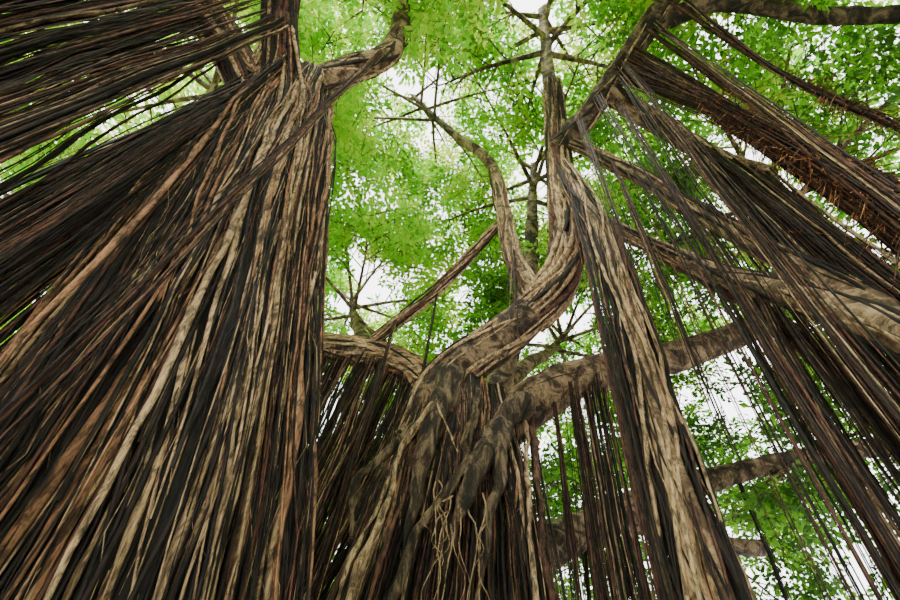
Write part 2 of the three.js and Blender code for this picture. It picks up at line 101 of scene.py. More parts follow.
PILLARS = {
    "pillar_root": dict(radii=(0.34, 0.24, 0.2, 0.22, 0.16),
                        path=[(1.72, -2.16, 0), (1.7, -2.16, 4), (1.66, -2.16, 8), (1.36, -2.06, 10.7)]),
    "prop_root_upper": dict(radii=(0.24, 0.18, 0.14, 0.12, 0.1),
                            path=[(3.75, -3.95, 0), (3.55, -3.2, 5.2), (3.2, -2.6, 8), (2.2, -2.45, 10.1),
                                  (1.32, -2.35, 11.35)]),
    "prop_root_lower": dict(radii=(0.22, 0.17, 0.14, 0.12, 0.1),
                            path=[(3.4, -4.5, 0), (3.12, -3.45, 4.6), (2.75, -2.4, 7.1), (1.68, -2.16, 8.4)]),
}

# name: (limb, shares of its length, strands of the source, their radius, first foot, last foot, bend)
HANGINGS = {
    "roots_high_bundle": ("bough_crossing", (0.2, 0.26), 4, 0.1, (4.2, -3.75, 2.2), (4.7, -3.6, 2.2),
                          (3.1, -3.85, 8.4)),
    "roots_drooping": ("bough_drooping", (0.55, 0.98), 5, 0.085, (4.15, -2.95, 0), (5.15, -2.85, 0), None),
    "roots_slanting": ("prop_root_lower", (0.86, 0.9), 3, 0.08, (4.55, -2.35, 0), (5, -2.2, 0),
                       (3.42, -2.28, 6.35)),
    "roots_plumb": ("prop_root_lower", (0.72, 0.76), 2, 0.06, (2.55, -2.5, 0), (2.75, -2.6, 0), None),
    "roots_thin_upper": ("bough_crossing", (0.36, 0.38), 2, 0.06, (5.45, -4.25, 3.4), (5.55, -4.2, 3.4),
                         (3.95, -4.3, 10.1)),
    "roots_thin_lower": ("bough_crossing", (0.3, 0.32), 2, 0.06, (5, -3.85, 3), (5.1, -3.8, 3),
                         (3.45, -3.95, 9)),
    "roots_trunk_left": ("bough_left", (0.2, 0.46), 6, 0.1, (-1.7, 0.55, 0), (-2.6, 1.1, 0), None),
    "roots_trunk_front": ("bough_right", (0.11, 0.19), 3, 0.07, (0.5, -1.68, 0), (0.95, -1.52, 0), None),
    "roots_trunk_right": ("bough_right", (0.3, 0.38), 3, 0.07, (1.75, -0.15, 0), (2.2, -0.25, 0), None),
    "roots_low": ("bough_low", (0.3, 0.42), 3, 0.07, (2.5, 1.65, 0), (3.5, 2, 0), None),
    "roots_left_inner": ("stem_bough_rising", (0.3, 0.86), 6, 0.1, (-3.6, -2.75, 0), (-5.2, -2.35, 0), None),
    "roots_left_outer": ("stem_bough_outer", (0.24, 0.8), 7, 0.12, (-3.65, -3.75, 0), (-5.6, -5.2, 0), None),
    "roots_front_left": ("stem_bough_front", (0.6, 0.72), 3, 0.07, (-3.25, -6.6, 0), (-3.4, -7.3, 0), None),
    "roots_far_left": ("bough_left", (0.74, 0.84), 3, 0.07, (-5.4, 0.95, 0), (-6.4, 0.75, 0), None),
    "roots_back": ("bough_back", (0.6, 0.72), 3, 0.07, (-0.4, 3.6, 0), (-0.5, 4.5, 0), None),
    "roots_back_left": ("bough_back_left", (0.58, 0.7), 3, 0.07, (-2.7, 2.6, 0), (-3.4, 3.2, 0), None),
}

STRUT = dict(start=("bough_left", 0.37), end=("bough_middle", 0.42), thick=0.11, thin=0.08, sag=0.25)

# Inside this ellipsoid a mass also fills what lies between the masses, up to BEYOND times its own space.
CROWN_SPACE = dict(middle=(*CROWN_MIDDLE, 8.6), size=(13.6, 13.6, 7.9), share=0.95)
BEYOND = 1.3
# No leaves grow this near under the bough that crosses the picture, where it is too dark.
BARE_ASIDE, BARE_BELOW = 0.8, 3.0


def chance(a, b=0, c=0):
    """A number from 0 to 1 that depends only on its seeds, as in the part's source."""
    wave = np.sin(np.asarray(a) * 127.1 + b * 311.7 + c * 74.7) * 43758.5453
    return wave - np.floor(wave)


def draws(seed):
    """The draws of one seed, by their numbers."""
    return lambda b=0, c=0: chance(seed, b, c)


def seeded(count, step, first=0.0):
    """For each of a count: its number, its seed and its draws."""
    for i in range(count):
        seed = i * step + first
        yield i, seed, draws(seed)


def level(angle):
    """The level direction at a bearing."""
    return np.stack([np.cos(angle), np.sin(angle), np.zeros_like(angle)], -1)


class Path:
    """A centripetal curve through points, read by shares of its length."""

    def __init__(self, points, fineness=40):
        p = np.array(points, float)
        ext = np.vstack([2 * p[0] - p[1], p, 2 * p[-1] - p[-2]])
        rows = []
        for i in range(len(p) - 1):
            p0, p1, p2, p3 = ext[i:i + 4]
            d0, d1, d2 = (max(np.linalg.norm(b - a), 1e-6) ** 0.5 for a, b in ((p0, p1), (p1, p2), (p2, p3)))
            t1 = ((p1 - p0) / d0 - (p2 - p0) / (d0 + d1) + (p2 - p1) / d1) * d1
            t2 = ((p2 - p1) / d1 - (p3 - p1) / (d1 + d2) + (p3 - p2) / d2) * d1
            t = np.linspace(0, 1, fineness, endpoint=False)[:, None]
            rows.append(p1 + t1 * t + (-3 * p1 + 3 * p2 - 2 * t1 - t2) * t ** 2
                        + (2 * p1 - 2 * p2 + t1 + t2) * t ** 3)
        self.points = np.vstack(rows + [p[-1:]])
        steps = np.linalg.norm(np.diff(self.points, axis=0), axis=1)
        self.run = np.concatenate([[0], np.cumsum(steps)])
        self.length = self.run[-1]

    def at(self, share):
        reach = np.clip(share, 0, 1) * self.length
        return np.stack([np.interp(reach, self.run, self.points[:, k]) for k in range(3)], axis=-1)

    def heading(self, share):
        share = np.asarray(share)
        way = self.at(share + 0.01) - self.at(share - 0.01)
        return way / np.linalg.norm(way, axis=-1, keepdims=True)


def profile(radii):
    """The radius at a share of a limb's length, from an even row of radii."""
    return lambda share: np.interp(share, np.linspace(0, 1, len(radii)), radii)


def spaces():
    """The ellipsoid space of each leaf mass: name, middle, size and seed."""
    found = {}
    for r in RINGS:
        for i in range(r["count"]):
            degrees = r["turn"] + 360 // r["count"] * i
            bearing = math.radians(degrees)
            middle = np.array([CROWN_MIDDLE[0] + r["out"] * math.cos(bearing),
                               CROWN_MIDDLE[1] + r["out"] * math.sin(bearing), r["height"]])
            found[f"{r['ring']}_{degrees:03d}"] = dict(
                middle=middle, size=np.array([r["wide"], r["wide"], r["tall"]]), seed=degrees + r["height"])
    return found


SPACES = spaces()


def in_space(points, name, within=1.0):
    """Which of the points a mass may fill: its own space, and what lies between the masses inside the crown."""
    away = {key: np.linalg.norm((points - s["middle"]) / s["size"], axis=-1) for key, s in SPACES.items()}
    own = away.pop(name)
    crown = np.linalg.norm((points - CROWN_SPACE["middle"]) / CROWN_SPACE["size"], axis=-1)
    inner = crown < CROWN_SPACE["share"]
    free = ((own < within) | ((own < BEYOND) & inner)) & (own < np.min(list(away.values()), axis=0))
    return free & (np.asarray(points)[..., 2] < CROWN_TOP)


def under_bough(points, name):
    """Which of the points lie close under a bough."""
    axis = bough_path(name)[0].at(np.linspace(0.1, 0.6, 14))
    aside = np.linalg.norm((points[:, None] - axis[None])[..., :2], axis=-1)
    drop = axis[np.argmin(aside, axis=1), 2] - points[:, 2]
    return (aside.min(axis=1) < BARE_ASIDE) & (drop > 0) & (drop < BARE_BELOW)


def bough_path(name):
    feeds, thick, thin, foot, knees, *stop = BOUGHS[name]
    points = [foot, *knees]
    if feeds:
        middle = SPACES[feeds]["middle"]
        inwards = np.array(points[-1]) - middle
        points.append(middle + inwards / np.linalg.norm(inwards) * (stop[0] if stop else STEM_STOP))
    return Path(points), profile((thick, thin))


def limb_path(name):
    """The axis and radius of any bough or pillar root. A pillar is listed from the ground up."""
    if name in BOUGHS:
        return bough_path(name)
    if name == "roots_strut":
        start, end = (bough_path(bough)[0].at(share) for bough, share in (STRUT["start"], STRUT["end"]))
        middle = (start + end) / 2 - UP * STRUT["sag"]
        return Path([start, middle, end]), profile((STRUT["thick"], STRUT["thin"]))
    return Path(PILLARS[name]["path"]), profile(PILLARS[name]["radii"])


def frames(path, shares):
    """Two directions across a path at each share, carried along it without turning."""
    ways = path.heading(shares)
    side = np.cross(ways[0], (0.31, 0.73, 0.61))
    sides = []
    for way in ways:
        side = side - way * (side @ way)
        side = side / np.linalg.norm(side)
        sides.append(side)
    sides = np.array(sides)
    return sides, np.cross(ways, sides)


def round_limb(path, shares, angle, away):
    """A line round a path, at an angle and a distance from it at each share."""
    one, two = frames(path, shares)
    return path.at(shares) + (one * np.cos(angle)[:, None] + two * np.sin(angle)[:, None]) * away[:, None]


class Wire:
    """One socket of a node tree, on which its sums are written as Python sums."""

    def __init__(self, nodes, socket):
        self.nodes, self.socket = nodes, socket

    def sum(self, operation, first, second):
        return self.nodes.node("ShaderNodeMath", {"operation": operation}, {0: first, 1: second})

    def __add__(self, other):
        return self.sum("ADD", self, other)

    def __radd__(self, other):
        return self.sum("ADD", other, self)

    def __sub__(self, other):
        return self.sum("SUBTRACT", self, other)

    def __rsub__(self, other):
        return self.sum("SUBTRACT", other, self)

    def __mul__(self, other):
        return self.sum("MULTIPLY", self, other)

    def __rmul__(self, other):
        return self.sum("MULTIPLY", other, self)


class Nodes:
    """A tree whose nodes are made from a type, its settings and the values or wires of its sockets."""

    def __init__(self, tree):
        self.tree = tree
        tree.nodes.clear()

    def node(self, kind, settings=None, sockets=None, out=0):
        made = self.tree.nodes.new(kind)
        for key, value in (settings or {}).items():
            setattr(made, key, value)
        for key, value in (sockets or {}).items():
            if isinstance(value, Wire):
                self.tree.links.new(value.socket, made.inputs[key])
            else:
                made.inputs[key].default_value = value
        return Wire(self, made.outputs[out]) if made.outputs else None


WHITE = (1, 1, 1)


class Finish(Nodes):
    """A material and what its surface is made from."""

    def __init__(self, name):
        self.material = bpy.data.materials.new(name)
        self.material.use_nodes = True
        super().__init__(self.material.node_tree)

    def noise(self, scale, stretch=WHITE, detail=4, roughness=0.55, distortion=0.0):
        """A noise from 0 to 1 over the object, drawn out along an axis by a stretch under 1."""
        place = self.node("ShaderNodeTexCoord", out="Object")
        drawn = self.node("ShaderNodeMapping", {}, {"Vector": place, "Scale": stretch})
        return self.node("ShaderNodeTexNoise", {}, {"Vector": drawn, "Scale": scale, "Detail": detail,
                                                    "Roughness": roughness, "Distortion": distortion})

    def ramp(self, value, stops):
        made = self.node("ShaderNodeValToRGB", {}, {"Fac": value})
        elements = made.socket.node.color_ramp.elements
        while len(elements) < len(stops):
            elements.new(0.5)
        for element, (place, colour) in zip(elements, stops):
            element.position, element.color = place, (*colour, 1)
        return made

    def darkened(self, colour, share, value, stops):
        """A colour times a share of what a ramp gives for a value."""
        return self.node("ShaderNodeMix", {"data_type": "RGBA", "blend_type": "MULTIPLY"},
                         {0: share, 6: colour, 7: self.ramp(value, stops)}, out=2)

    def bump(self, height, strength, distance):
        return self.node("ShaderNodeBump", {}, {"Height": height, "Strength": strength, "Distance": distance})

    def skin(self, colour, roughness, **more):
        return self.node("ShaderNodeBsdfPrincipled", {}, {"Base Color": colour, "Roughness": roughness, **more})

    def done(self, shader):
        self.node("ShaderNodeOutputMaterial", {}, {"Surface": shader})
        return self.material


def shade(colour, factor):
    return tuple(min(1, c * factor) for c in colour)


def bark_finish(name, light, mid, dark, relief=0.6, stretch=WHITE):
    """Smooth fig bark: mottled patches, fine wrinkles, and creases darkened with painted shade."""
    f = Finish(name)
    finer = stretch[2] ** 0.5
    patches = f.noise(3.6 / finer, stretch, 8, 0.7, 0.8)
    wrinkles = f.noise(15 / finer, stretch, 7, 0.7, 0.5)
    grain = f.noise(70, detail=3, roughness=0.7)
    colour = f.ramp(patches, [(0.42, dark), (0.49, mid), (0.58, light)])
    # Painted shade: the colour darkens where the wrinkles' noise is low, where the bump sinks the bark into
    # creases.
    colour = f.darkened(colour, 0.85, wrinkles, [
        (0.36, (0.22, 0.19, 0.17)), (0.5, (0.85, 0.83, 0.8)), (0.68, WHITE)])
    colour = f.darkened(colour, 0.5, grain, [(0.36, (0.55, 0.5, 0.46)), (0.52, WHITE)])
    return f.done(f.skin(colour, 0.85, Normal=f.bump(wrinkles * 0.7 + grain * 0.3, relief, 0.06)))


def root_finish(name, light, dark, stretch=(1, 1, 0.3)):
    """Aerial root: crisp pale patches of dry bark, broken by dark ones, with fine lines down its length."""
    f = Finish(name)
    patches = f.noise(19, stretch, 8, 0.74, 0.6)
    broad = f.noise(1.3, (1, 1, 0.5), 3, 0.6)
    fine = f.noise(75, (1, 1, 0.07) if stretch[2] < 1 else stretch, 4, 0.7)
    colour = f.ramp(patches, [
        (0.38, shade(dark, 0.4)), (0.46, shade(light, 0.4)), (0.53, light), (0.68, shade(light, 1.2))])
    colour = f.darkened(colour, 0.7, broad, [(0.36, (0.5, 0.46, 0.42)), (0.58, WHITE)])
    colour = f.darkened(colour, 0.75, fine, [(0.34, (0.28, 0.24, 0.2)), (0.5, WHITE)])
    return f.done(f.skin(colour, 0.8, Normal=f.bump(patches * 0.5 + fine * 0.5, 0.8, 0.03)))


def leaf_finish(name, colour, glow):
    """A leaf that shines a little and lets light through."""
    f = Finish(name)
    through = f.node("ShaderNodeBsdfTranslucent", {}, {"Color": (*glow, 1)})
    return f.done(f.node("ShaderNodeMixShader", {}, {0: 0.55, 1: f.skin((*colour, 1), 0.42), 2: through}))


def twig_finish(name, colour):
    """Thin green-brown bark with darker and lighter spots."""
    f = Finish(name)
    spots = f.noise(24, detail=3, roughness=0.7)
    return f.done(f.skin(f.ramp(spots, [(0.36, shade(colour, 0.45)), (0.6, shade(colour, 1.3))]), 0.75))


def plain_finish(name, colour, roughness=0.9):
    f = Finish(name)
    return f.done(f.skin((*colour, 1), roughness))


def ready(name, maker, *args):
    """A finish by its name, made once."""
    return bpy.data.materials.get(name) or maker(name, *args)


# The finishes of bark and roots: the colours of the panel that each takes, how far these are darkened or
# lightened, and what else the finish is told. Half shaded, shaded and flowing shaded bark are darker copies of
# the fig bark, painted shade for boughs in shade and for the limbs under the fork. Flowing shaded bark is drawn
# out down the trunk, and level roots along a level bough.
ALONG = (0.25, 0.25, 1)
LOOKS = {
    "Fig Bark": (bark_finish, [("light", 1), ("mid", 1), ("dark", 1)]),
    "Damp Bark": (bark_finish, [("light", 0.7), ("mid", 0.52), ("dark", 0.4)]),
    "Shaded Bark": (bark_finish, [("light", 0.5), ("mid", 0.42), ("dark", 0.4)]),
    "Flowing Bark": (bark_finish, [("light", 0.62), ("mid", 0.45), ("dark", 0.4)], 0.9, (1, 1, 0.22)),
    "Pale Bark": (bark_finish, [("light", 1.2), ("mid", 1.5), ("mid", 0.75)]),
    # Painted shade: the stem core is near black, standing for the shade in the gaps between the strips.
    "Stem Core": (root_finish, [("gap", 2.2), ("gap", 1)]),
    "Tan Root": (root_finish, [("tan", 1), ("tan", 0.3)]),
    "Red Root": (root_finish, [("red", 1), ("red", 0.32)]),
    "Dark Root": (root_finish, [("dark", 1), ("dark", 0.2)]),
    "Weathered Root": (root_finish, [("warm", 1), ("warm", 0.3)]),
    "Young Root": (root_finish, [("young", 1), ("young", 0.5)]),
    "Level Tan Root": (root_finish, [("tan", 1), ("tan", 0.3)], ALONG),
    "Level Red Root": (root_finish, [("warm", 1), ("warm", 0.3)], ALONG),
    "Level Dark Root": (root_finish, [("dark", 1), ("dark", 0.3)], ALONG),
}
# The mixes of finishes that strands are dealt out to by their kind.
ROOT_MIX = ("Tan Root", "Red Root", "Dark Root")
STEM_MIX = ("Tan Root", "Weathered Root", "Dark Root")
LEVEL_MIX = ("Level Tan Root", "Level Red Root", "Level Dark Root")
BRAID_MIX = ("Tan Root", "Pale Bark", "Dark Root")
# Painted shade: the fused limbs' bark is the darker flowing shaded bark.
FUSED_MIX = ("Flowing Bark", "Tan Root", "Red Root")
YOUNG_MIX = ("Young Root", "Red Root")


def look(name):
    """A finish of bark or roots from the panel's colours."""
    maker, tones, *more = LOOKS[name]
    scene = bpy.context.scene
    group = scene.banyan_bark if maker is bark_finish else scene.banyan_roots
    return ready(name, maker, *(shade(getattr(group, tone), factor) for tone, factor in tones), *more)


class Grower(Nodes):
    """A Geometry Nodes tree, built in the script with named inputs."""

    def __init__(self, name, inputs):
        super().__init__(bpy.data.node_groups.new(name, "GeometryNodeTree"))
        face = self.tree.interface
        face.new_socket("Geometry", in_out="INPUT", socket_type="NodeSocketGeometry")
        for label, kind in inputs.items():
            face.new_socket(label, in_out="INPUT", socket_type=kind)
        face.new_socket("Geometry", in_out="OUTPUT", socket_type="NodeSocketGeometry")
        self.given = self.tree.nodes.new("NodeGroupInput")

    def input(self, label):
        return Wire(self, self.given.outputs[label])

    def attribute(self, name, kind="FLOAT"):
        return self.node("GeometryNodeInputNamedAttribute", {"data_type": kind}, {"Name": name})

    def matches(self, attribute, number):
        """Where a whole-number attribute has one value."""
        return self.node("FunctionNodeCompare", {"data_type": "INT", "operation": "EQUAL"},
                         {2: self.attribute(attribute, "INT"), 3: number})

    def noise(self, place, scale, detail, out=0):
        return self.node("ShaderNodeTexNoise", {}, {"Vector": place, "Scale": scale, "Detail": detail}, out)

    def vector(self, operation, first, second):
        return self.node("ShaderNodeVectorMath", {"operation": operation},
                         {0: first, "Scale" if operation == "SCALE" else 1: second})

    def random(self, low, high):
        return self.node("FunctionNodeRandomValue", {"data_type": "FLOAT"},
                         {2: low, 3: high, "Seed": self.input("Seed")}, out=1)

    def end(self, geometry):
        self.node("NodeGroupOutput", {}, {0: geometry})
        return self.tree


STYLE = ("Spacing", "Wander", "Wander Size", "Knots", "Relief", "Relief Size")


def strand_tree():
    """Lines with a thickness become wandering, knotty limbs in up to three finishes."""
    g = Grower("Strands", {
        "Sides": "NodeSocketInt", **dict.fromkeys(STYLE, "NodeSocketFloat"),
        **{f"Finish {k}": "NodeSocketMaterial" for k in range(3)}})
    line = g.node("GeometryNodeMeshToCurve", {}, {"Mesh": g.input("Geometry")})
    line = g.node("GeometryNodeSetCurveRadius", {}, {"Curve": line, "Radius": g.attribute("thickness")})
    line = g.node("GeometryNodeResampleCurve", {"mode": "LENGTH"},
                  {"Curve": line, "Length": g.input("Spacing")})
    place = g.node("GeometryNodeInputPosition")
    sway = g.vector("SUBTRACT", g.noise(place, g.input("Wander Size"), 2.0, "Color"), (0.5, 0.5, 0.5))
    sway = g.vector("SCALE", g.vector("MULTIPLY", sway, (1, 1, 0)), g.input("Wander"))
    line = g.node("GeometryNodeSetPosition", {}, {"Geometry": line, "Offset": sway})
    swell = g.node("ShaderNodeMath", {"operation": "MULTIPLY_ADD"},
                   {0: g.noise(place, 2.3, 3.0) - 0.5, 1: g.input("Knots"), 2: 1.0})
    ring = g.node("GeometryNodeCurvePrimitiveCircle", {}, {"Resolution": g.input("Sides"), "Radius": 1.0})
    thick = g.node("GeometryNodeInputRadius") * swell
    tube = g.node("GeometryNodeCurveToMesh", {}, {
        "Curve": line, "Profile Curve": ring, "Scale": thick, "Fill Caps": True})
    rough = g.noise(g.vector("MULTIPLY", place, (1, 1, 0.45)), g.input("Relief Size"), 5.0)
    raised = g.vector("SCALE", g.node("GeometryNodeInputNormal"), (rough - 0.5) * g.input("Relief"))
    tube = g.node("GeometryNodeSetPosition", {}, {"Geometry": tube, "Offset": raised})
    tube = g.node("GeometryNodeSetShadeSmooth", {}, {"Geometry": tube, "Shade Smooth": True})
    tube = g.node("GeometryNodeRealizeInstances", {}, {"Geometry": tube})
    for k in range(3):
        tube = g.node("GeometryNodeSetMaterial", {}, {
            "Geometry": tube, "Selection": g.matches("kind", k), "Material": g.input(f"Finish {k}")})
    return g.end(tube)


LEAF_TINTS = 4


def spray_tree():
    """Points with a heading and a tint become sprays of one small mesh each."""
    inputs = {"Size": "NodeSocketFloat", "Seed": "NodeSocketInt"}
    for k in range(LEAF_TINTS):
        inputs.update({f"Spray {k}": "NodeSocketObject", f"Finish {k}": "NodeSocketMaterial"})
    g = Grower("Sprays", inputs)
    aim = g.node("FunctionNodeAlignRotationToVector", {"axis": "X"},
                 {"Vector": g.attribute("heading", "FLOAT_VECTOR")})
    turn = g.node("FunctionNodeAxisAngleToRotation", {}, {"Axis": (1, 0, 0), "Angle": g.random(-0.5, 0.5)})
    turned = g.node("FunctionNodeRotateRotation", {"rotation_space": "LOCAL"},
                    {"Rotation": aim, "Rotate By": turn})
    size = g.random(0.8, 1.2) * g.input("Size")
    joined = g.node("GeometryNodeJoinGeometry")
    for k in range(LEAF_TINTS):
        spray = g.node("GeometryNodeObjectInfo", {}, {"Object": g.input(f"Spray {k}")}, "Geometry")
        placed = g.node("GeometryNodeInstanceOnPoints", {}, {
            "Points": g.input("Geometry"), "Selection": g.matches("tint", k), "Instance": spray,
            "Rotation": turned, "Scale": size})
        real = g.node("GeometryNodeRealizeInstances", {}, {"Geometry": placed})
        finished = g.node("GeometryNodeSetMaterial", {}, {"Geometry": real, "Material": g.input(f"Finish {k}")})
        g.tree.links.new(finished.socket, joined.socket.node.inputs[0])
    return g.end(joined)


TREES = {"Strands": strand_tree, "Sprays": spray_tree}


def grown(source, kind, inputs, name):
    """A plain mesh object from a source mesh and a tree whose inputs are set by their identifiers."""
    tree = bpy.data.node_groups.get(kind) or TREES[kind]()
    holder = bpy.data.objects.new(name + "_lines", source)
    bpy.context.scene.collection.objects.link(holder)
    modifier = holder.modifiers.new("Grow", "NODES")
    modifier.node_group = tree
    sockets = {s.name: s.identifier for s in tree.interface.items_tree if s.in_out == "INPUT"}
    for label, value in inputs.items():
        modifier[sockets[label]] = value
    depsgraph = bpy.context.evaluated_depsgraph_get()
    mesh = bpy.data.meshes.new_from_object(holder.evaluated_get(depsgraph), depsgraph=depsgraph)
    bpy.data.objects.remove(holder)
    mesh.name = name
    places = np.empty(len(mesh.vertices) * 3, np.float32)
    mesh.vertices.foreach_get("co", places)
    places[2::3] = np.maximum(places[2::3], 0)
    mesh.vertices.foreach_set("co", places)
    for attribute in {"thickness", "kind", "tint", "heading"} & set(mesh.attributes.keys()):
        mesh.attributes.remove(mesh.attributes[attribute])
    return linked(name, mesh)


def linked(name, mesh):
    made = bpy.data.objects.new(name, mesh)
    bpy.context.scene.collection.objects.link(made)
    return made


def loose_mesh(points, edges, attributes):
    """A mesh of points and edges that carries attributes, each by its name as (kind, field, values)."""
    mesh = bpy.data.meshes.new("source")
    mesh.vertices.add(len(points))
    mesh.vertices.foreach_set("co", points.astype(np.float32).ravel())
    if len(edges):
        mesh.edges.add(len(edges))
        mesh.edges.foreach_set("vertices", edges.astype(np.int32).ravel())
    for key, (kind, field, values) in attributes.items():
        values = values.astype(np.int32 if kind == "INT" else np.float32).ravel()
        mesh.attributes.new(key, kind, "POINT").data.foreach_set(field, values)
    mesh.update()
    return mesh


def line_mesh(strands):
    """One mesh of edges from strands, each (points, radii, kind)."""
    points, radii, kinds = zip(*strands)
    counts = [len(p) for p in points]
    starts = np.cumsum([0] + counts[:-1])
    edges = [np.stack([np.arange(s, s + c - 1), np.arange(s + 1, s + c)], 1) for s, c in zip(starts, counts)]
    radii = np.concatenate([np.broadcast_to(r, c) for r, c in zip(radii, counts)])
    return loose_mesh(np.vstack(points), np.vstack(edges), {
        "thickness": ("FLOAT", "value", radii), "kind": ("INT", "value", np.repeat(kinds, counts))})


def face_mesh(name, points, faces, smooth=False):
    mesh = bpy.data.meshes.new(name)
    mesh.from_pydata([tuple(p) for p in points], [], [tuple(f) for f in faces])
    mesh.polygons.foreach_set("use_smooth", [smooth] * len(mesh.polygons))
    mesh.update()
    return mesh


def seated(piece, material_slot, *nodes):
    """The piece rides on the tree's one body and stands for its CAD nodes."""
    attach(piece, "root")
    if nodes:
        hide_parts(*nodes)
    return piece


# How each kind of strand is drawn: sides, spacing, wander and its size, knots, and relief and its size.
STYLES = {
    "roots": (5, 0.24, 0.1, 2.0, 1.7),
    "thin_roots": (3, 0.5, 0.08, 0.9, 0.5),
    "tangle": (3, 0.18, 0.05, 3.0, 0.4),
    "shoulder_roots": (5, 0.26, 0.1, 1.6, 1.2),
    "bough": (26, 0.09, 0.05, 0.9, 0.35),
    "pillar": (26, 0.09, 0.0, 0.9, 0.35),
    "braid": (10, 0.12, 0.1, 1.3, 0.8, 0.03, 7.0),
    "clinging": (5, 0.2, 0.12, 1.6, 0.8),
    "strands": (3, 0.42, 0.16, 0.7, 0.7),
    "rootlets": (3, 0.4, 0.03, 3.0, 0.2),
    "plumb": (3, 0.5, 0.1, 0.7, 0.6),
    "fused_limbs": (14, 0.08, 0.18, 1.8, 1.2, 0.07, 8.0),
    "wiry_roots": (4, 0.05, 0.05, 2.5, 0.4),
    "trunk_gnarled_roots": (7, 0.16, 0.16, 0.8, 0.9),
    "trunk_curtain": (3, 0.4, 0.16, 0.8, 0.6),
    "twigs": (3, 0.35, 0.08, 1.0, 0.3),
}


def strands_piece(name, strands, mix, slot, style, *nodes):
    """One piece of the scene from strands, with their finishes and their style."""
    sides, *drawn = STYLES.get(style, style)
    looks = {f"Finish {k}": look(mix[k % len(mix)]) for k in range(3)}
    made = grown(line_mesh(strands), "Strands", {"Sides": sides, **dict(zip(STYLE, drawn)), **looks}, name)
    return seated(made, slot, *nodes)


class CrownSizes(bpy.types.PropertyGroup):
    leaf_length: FloatProperty(name="Leaf Length", description="Length of a leaf, larger than life",
                               default=0.15, unit="LENGTH")
    leaf_width: FloatProperty(name="Leaf Width", description="Width of a leaf", default=0.088, unit="LENGTH")
    leaves_on_spray: IntProperty(name="Leaves on a Spray", description="Leaves on each spray", default=14)
    side_twigs: IntProperty(name="Side Twigs", description="Twigs on each main twig of a mass", default=10)
    twiglets: IntProperty(name="Twiglets", description="Twiglets on each side twig", default=7)
    reach: FloatProperty(name="Reach", description="Share of a mass's space that twigs fill", default=0.93)
    # The bright and deep tints are partly the leaves' own age and partly painted light and shade, dealt out by
    # ring and by side.
    bright: FloatVectorProperty(name="Bright Leaf", description="Young sunlit leaves", subtype="COLOR",
                                default=(0.41, 0.64, 0.05))
    fresh: FloatVectorProperty(name="Fresh Leaf", description="Most leaves", subtype="COLOR",
                               default=(0.225, 0.47, 0.03))
    mid: FloatVectorProperty(name="Mid Leaf", description="Older leaves", subtype="COLOR",
                             default=(0.11, 0.27, 0.02))
    deep: FloatVectorProperty(name="Deep Leaf", description="Leaves in the shade", subtype="COLOR",
                              default=(0.045, 0.12, 0.015))
    twig: FloatVectorProperty(name="Twig", description="Thin green-brown twigs", subtype="COLOR",
                              default=(0.13, 0.1, 0.055))


class BarkSizes(bpy.types.PropertyGroup):
    relief: FloatProperty(name="Relief", description="Height of the bark's relief", default=0.08, unit="LENGTH")
    light: FloatVectorProperty(name="Light Bark", description="Pale patches", subtype="COLOR",
                               default=(0.62, 0.42, 0.245))
    mid: FloatVectorProperty(name="Bark", description="Most of the bark", subtype="COLOR",
                             default=(0.23, 0.143, 0.082))
    # The dark bark is the darkest mottling of the fig bark; its darker copies paint the shade on boughs in shade
    # and on the fused limbs.
    dark: FloatVectorProperty(name="Dark Bark", description="Creases and damp bark", subtype="COLOR",
                              default=(0.062, 0.037, 0.022))


class RootSizes(bpy.types.PropertyGroup):
    threads: IntProperty(name="Threads", description="Thin roots wound round each main strand", default=46)
    strands: IntProperty(name="Loose Roots", description="Loose thin roots in a curtain one metre wide",
                         default=80)
    hairs: IntProperty(name="Hairs", description="Short young roots on each bundle", default=900)
    on_stem: IntProperty(name="Roots on a Stem", description="Pale roots that run down each stem", default=104)
    stem_threads: IntProperty(name="Threads on a Stem", description="Thin dark roots down each stem",
                              default=560)
    tangle: IntProperty(name="Tangle", description="Wiry rootlets that cross the strips of a stem",
                        default=1300)
    shoulders: IntProperty(name="Shoulder Roots", description="Roots from the left stem's boughs down its side",
                           default=88)
    round_trunk: IntProperty(name="Roots round the Trunk", description="Thin roots that hang round the trunk",
                             default=520)
    tan: FloatVectorProperty(name="Tan Root", description="Dry roots", subtype="COLOR",
                             default=(0.86, 0.56, 0.31))
    red: FloatVectorProperty(name="Red Root", description="Young roots", subtype="COLOR",
                             default=(0.24, 0.1, 0.065))
    young: FloatVectorProperty(name="Young Root", description="Fresh hairs", subtype="COLOR",
                               default=(0.78, 0.29, 0.09))
    warm: FloatVectorProperty(name="Weathered Root", description="Orange-tan roots", subtype="COLOR",
                              default=(0.64, 0.31, 0.16))
    dark: FloatVectorProperty(name="Dark Root", description="Old thin roots", subtype="COLOR",
                              default=(0.05, 0.032, 0.025))
    # Painted shade: this near-black colour stands for the shade between the roots on a stem.
    gap: FloatVectorProperty(name="Gap", description="The shaded core of a stem", subtype="COLOR",
                             default=(0.012, 0.008, 0.006))


DARK_KIND = 2


def kind_of(draw, tan, red):
    """A finish's number from a draw and the shares of tan and red roots: 0 tan, 1 red, 2 dark."""
    return 0 if draw < tan else (1 if draw < tan + red else DARK_KIND)


def swelling(shares, start, least=0.2):
    """The taper of a root whose tip hangs some way above its foot, or no taper where it reaches it."""
    return np.clip((shares - start) / (1 - start) * 4 + least, 0, 1) if start else np.ones_like(shares)


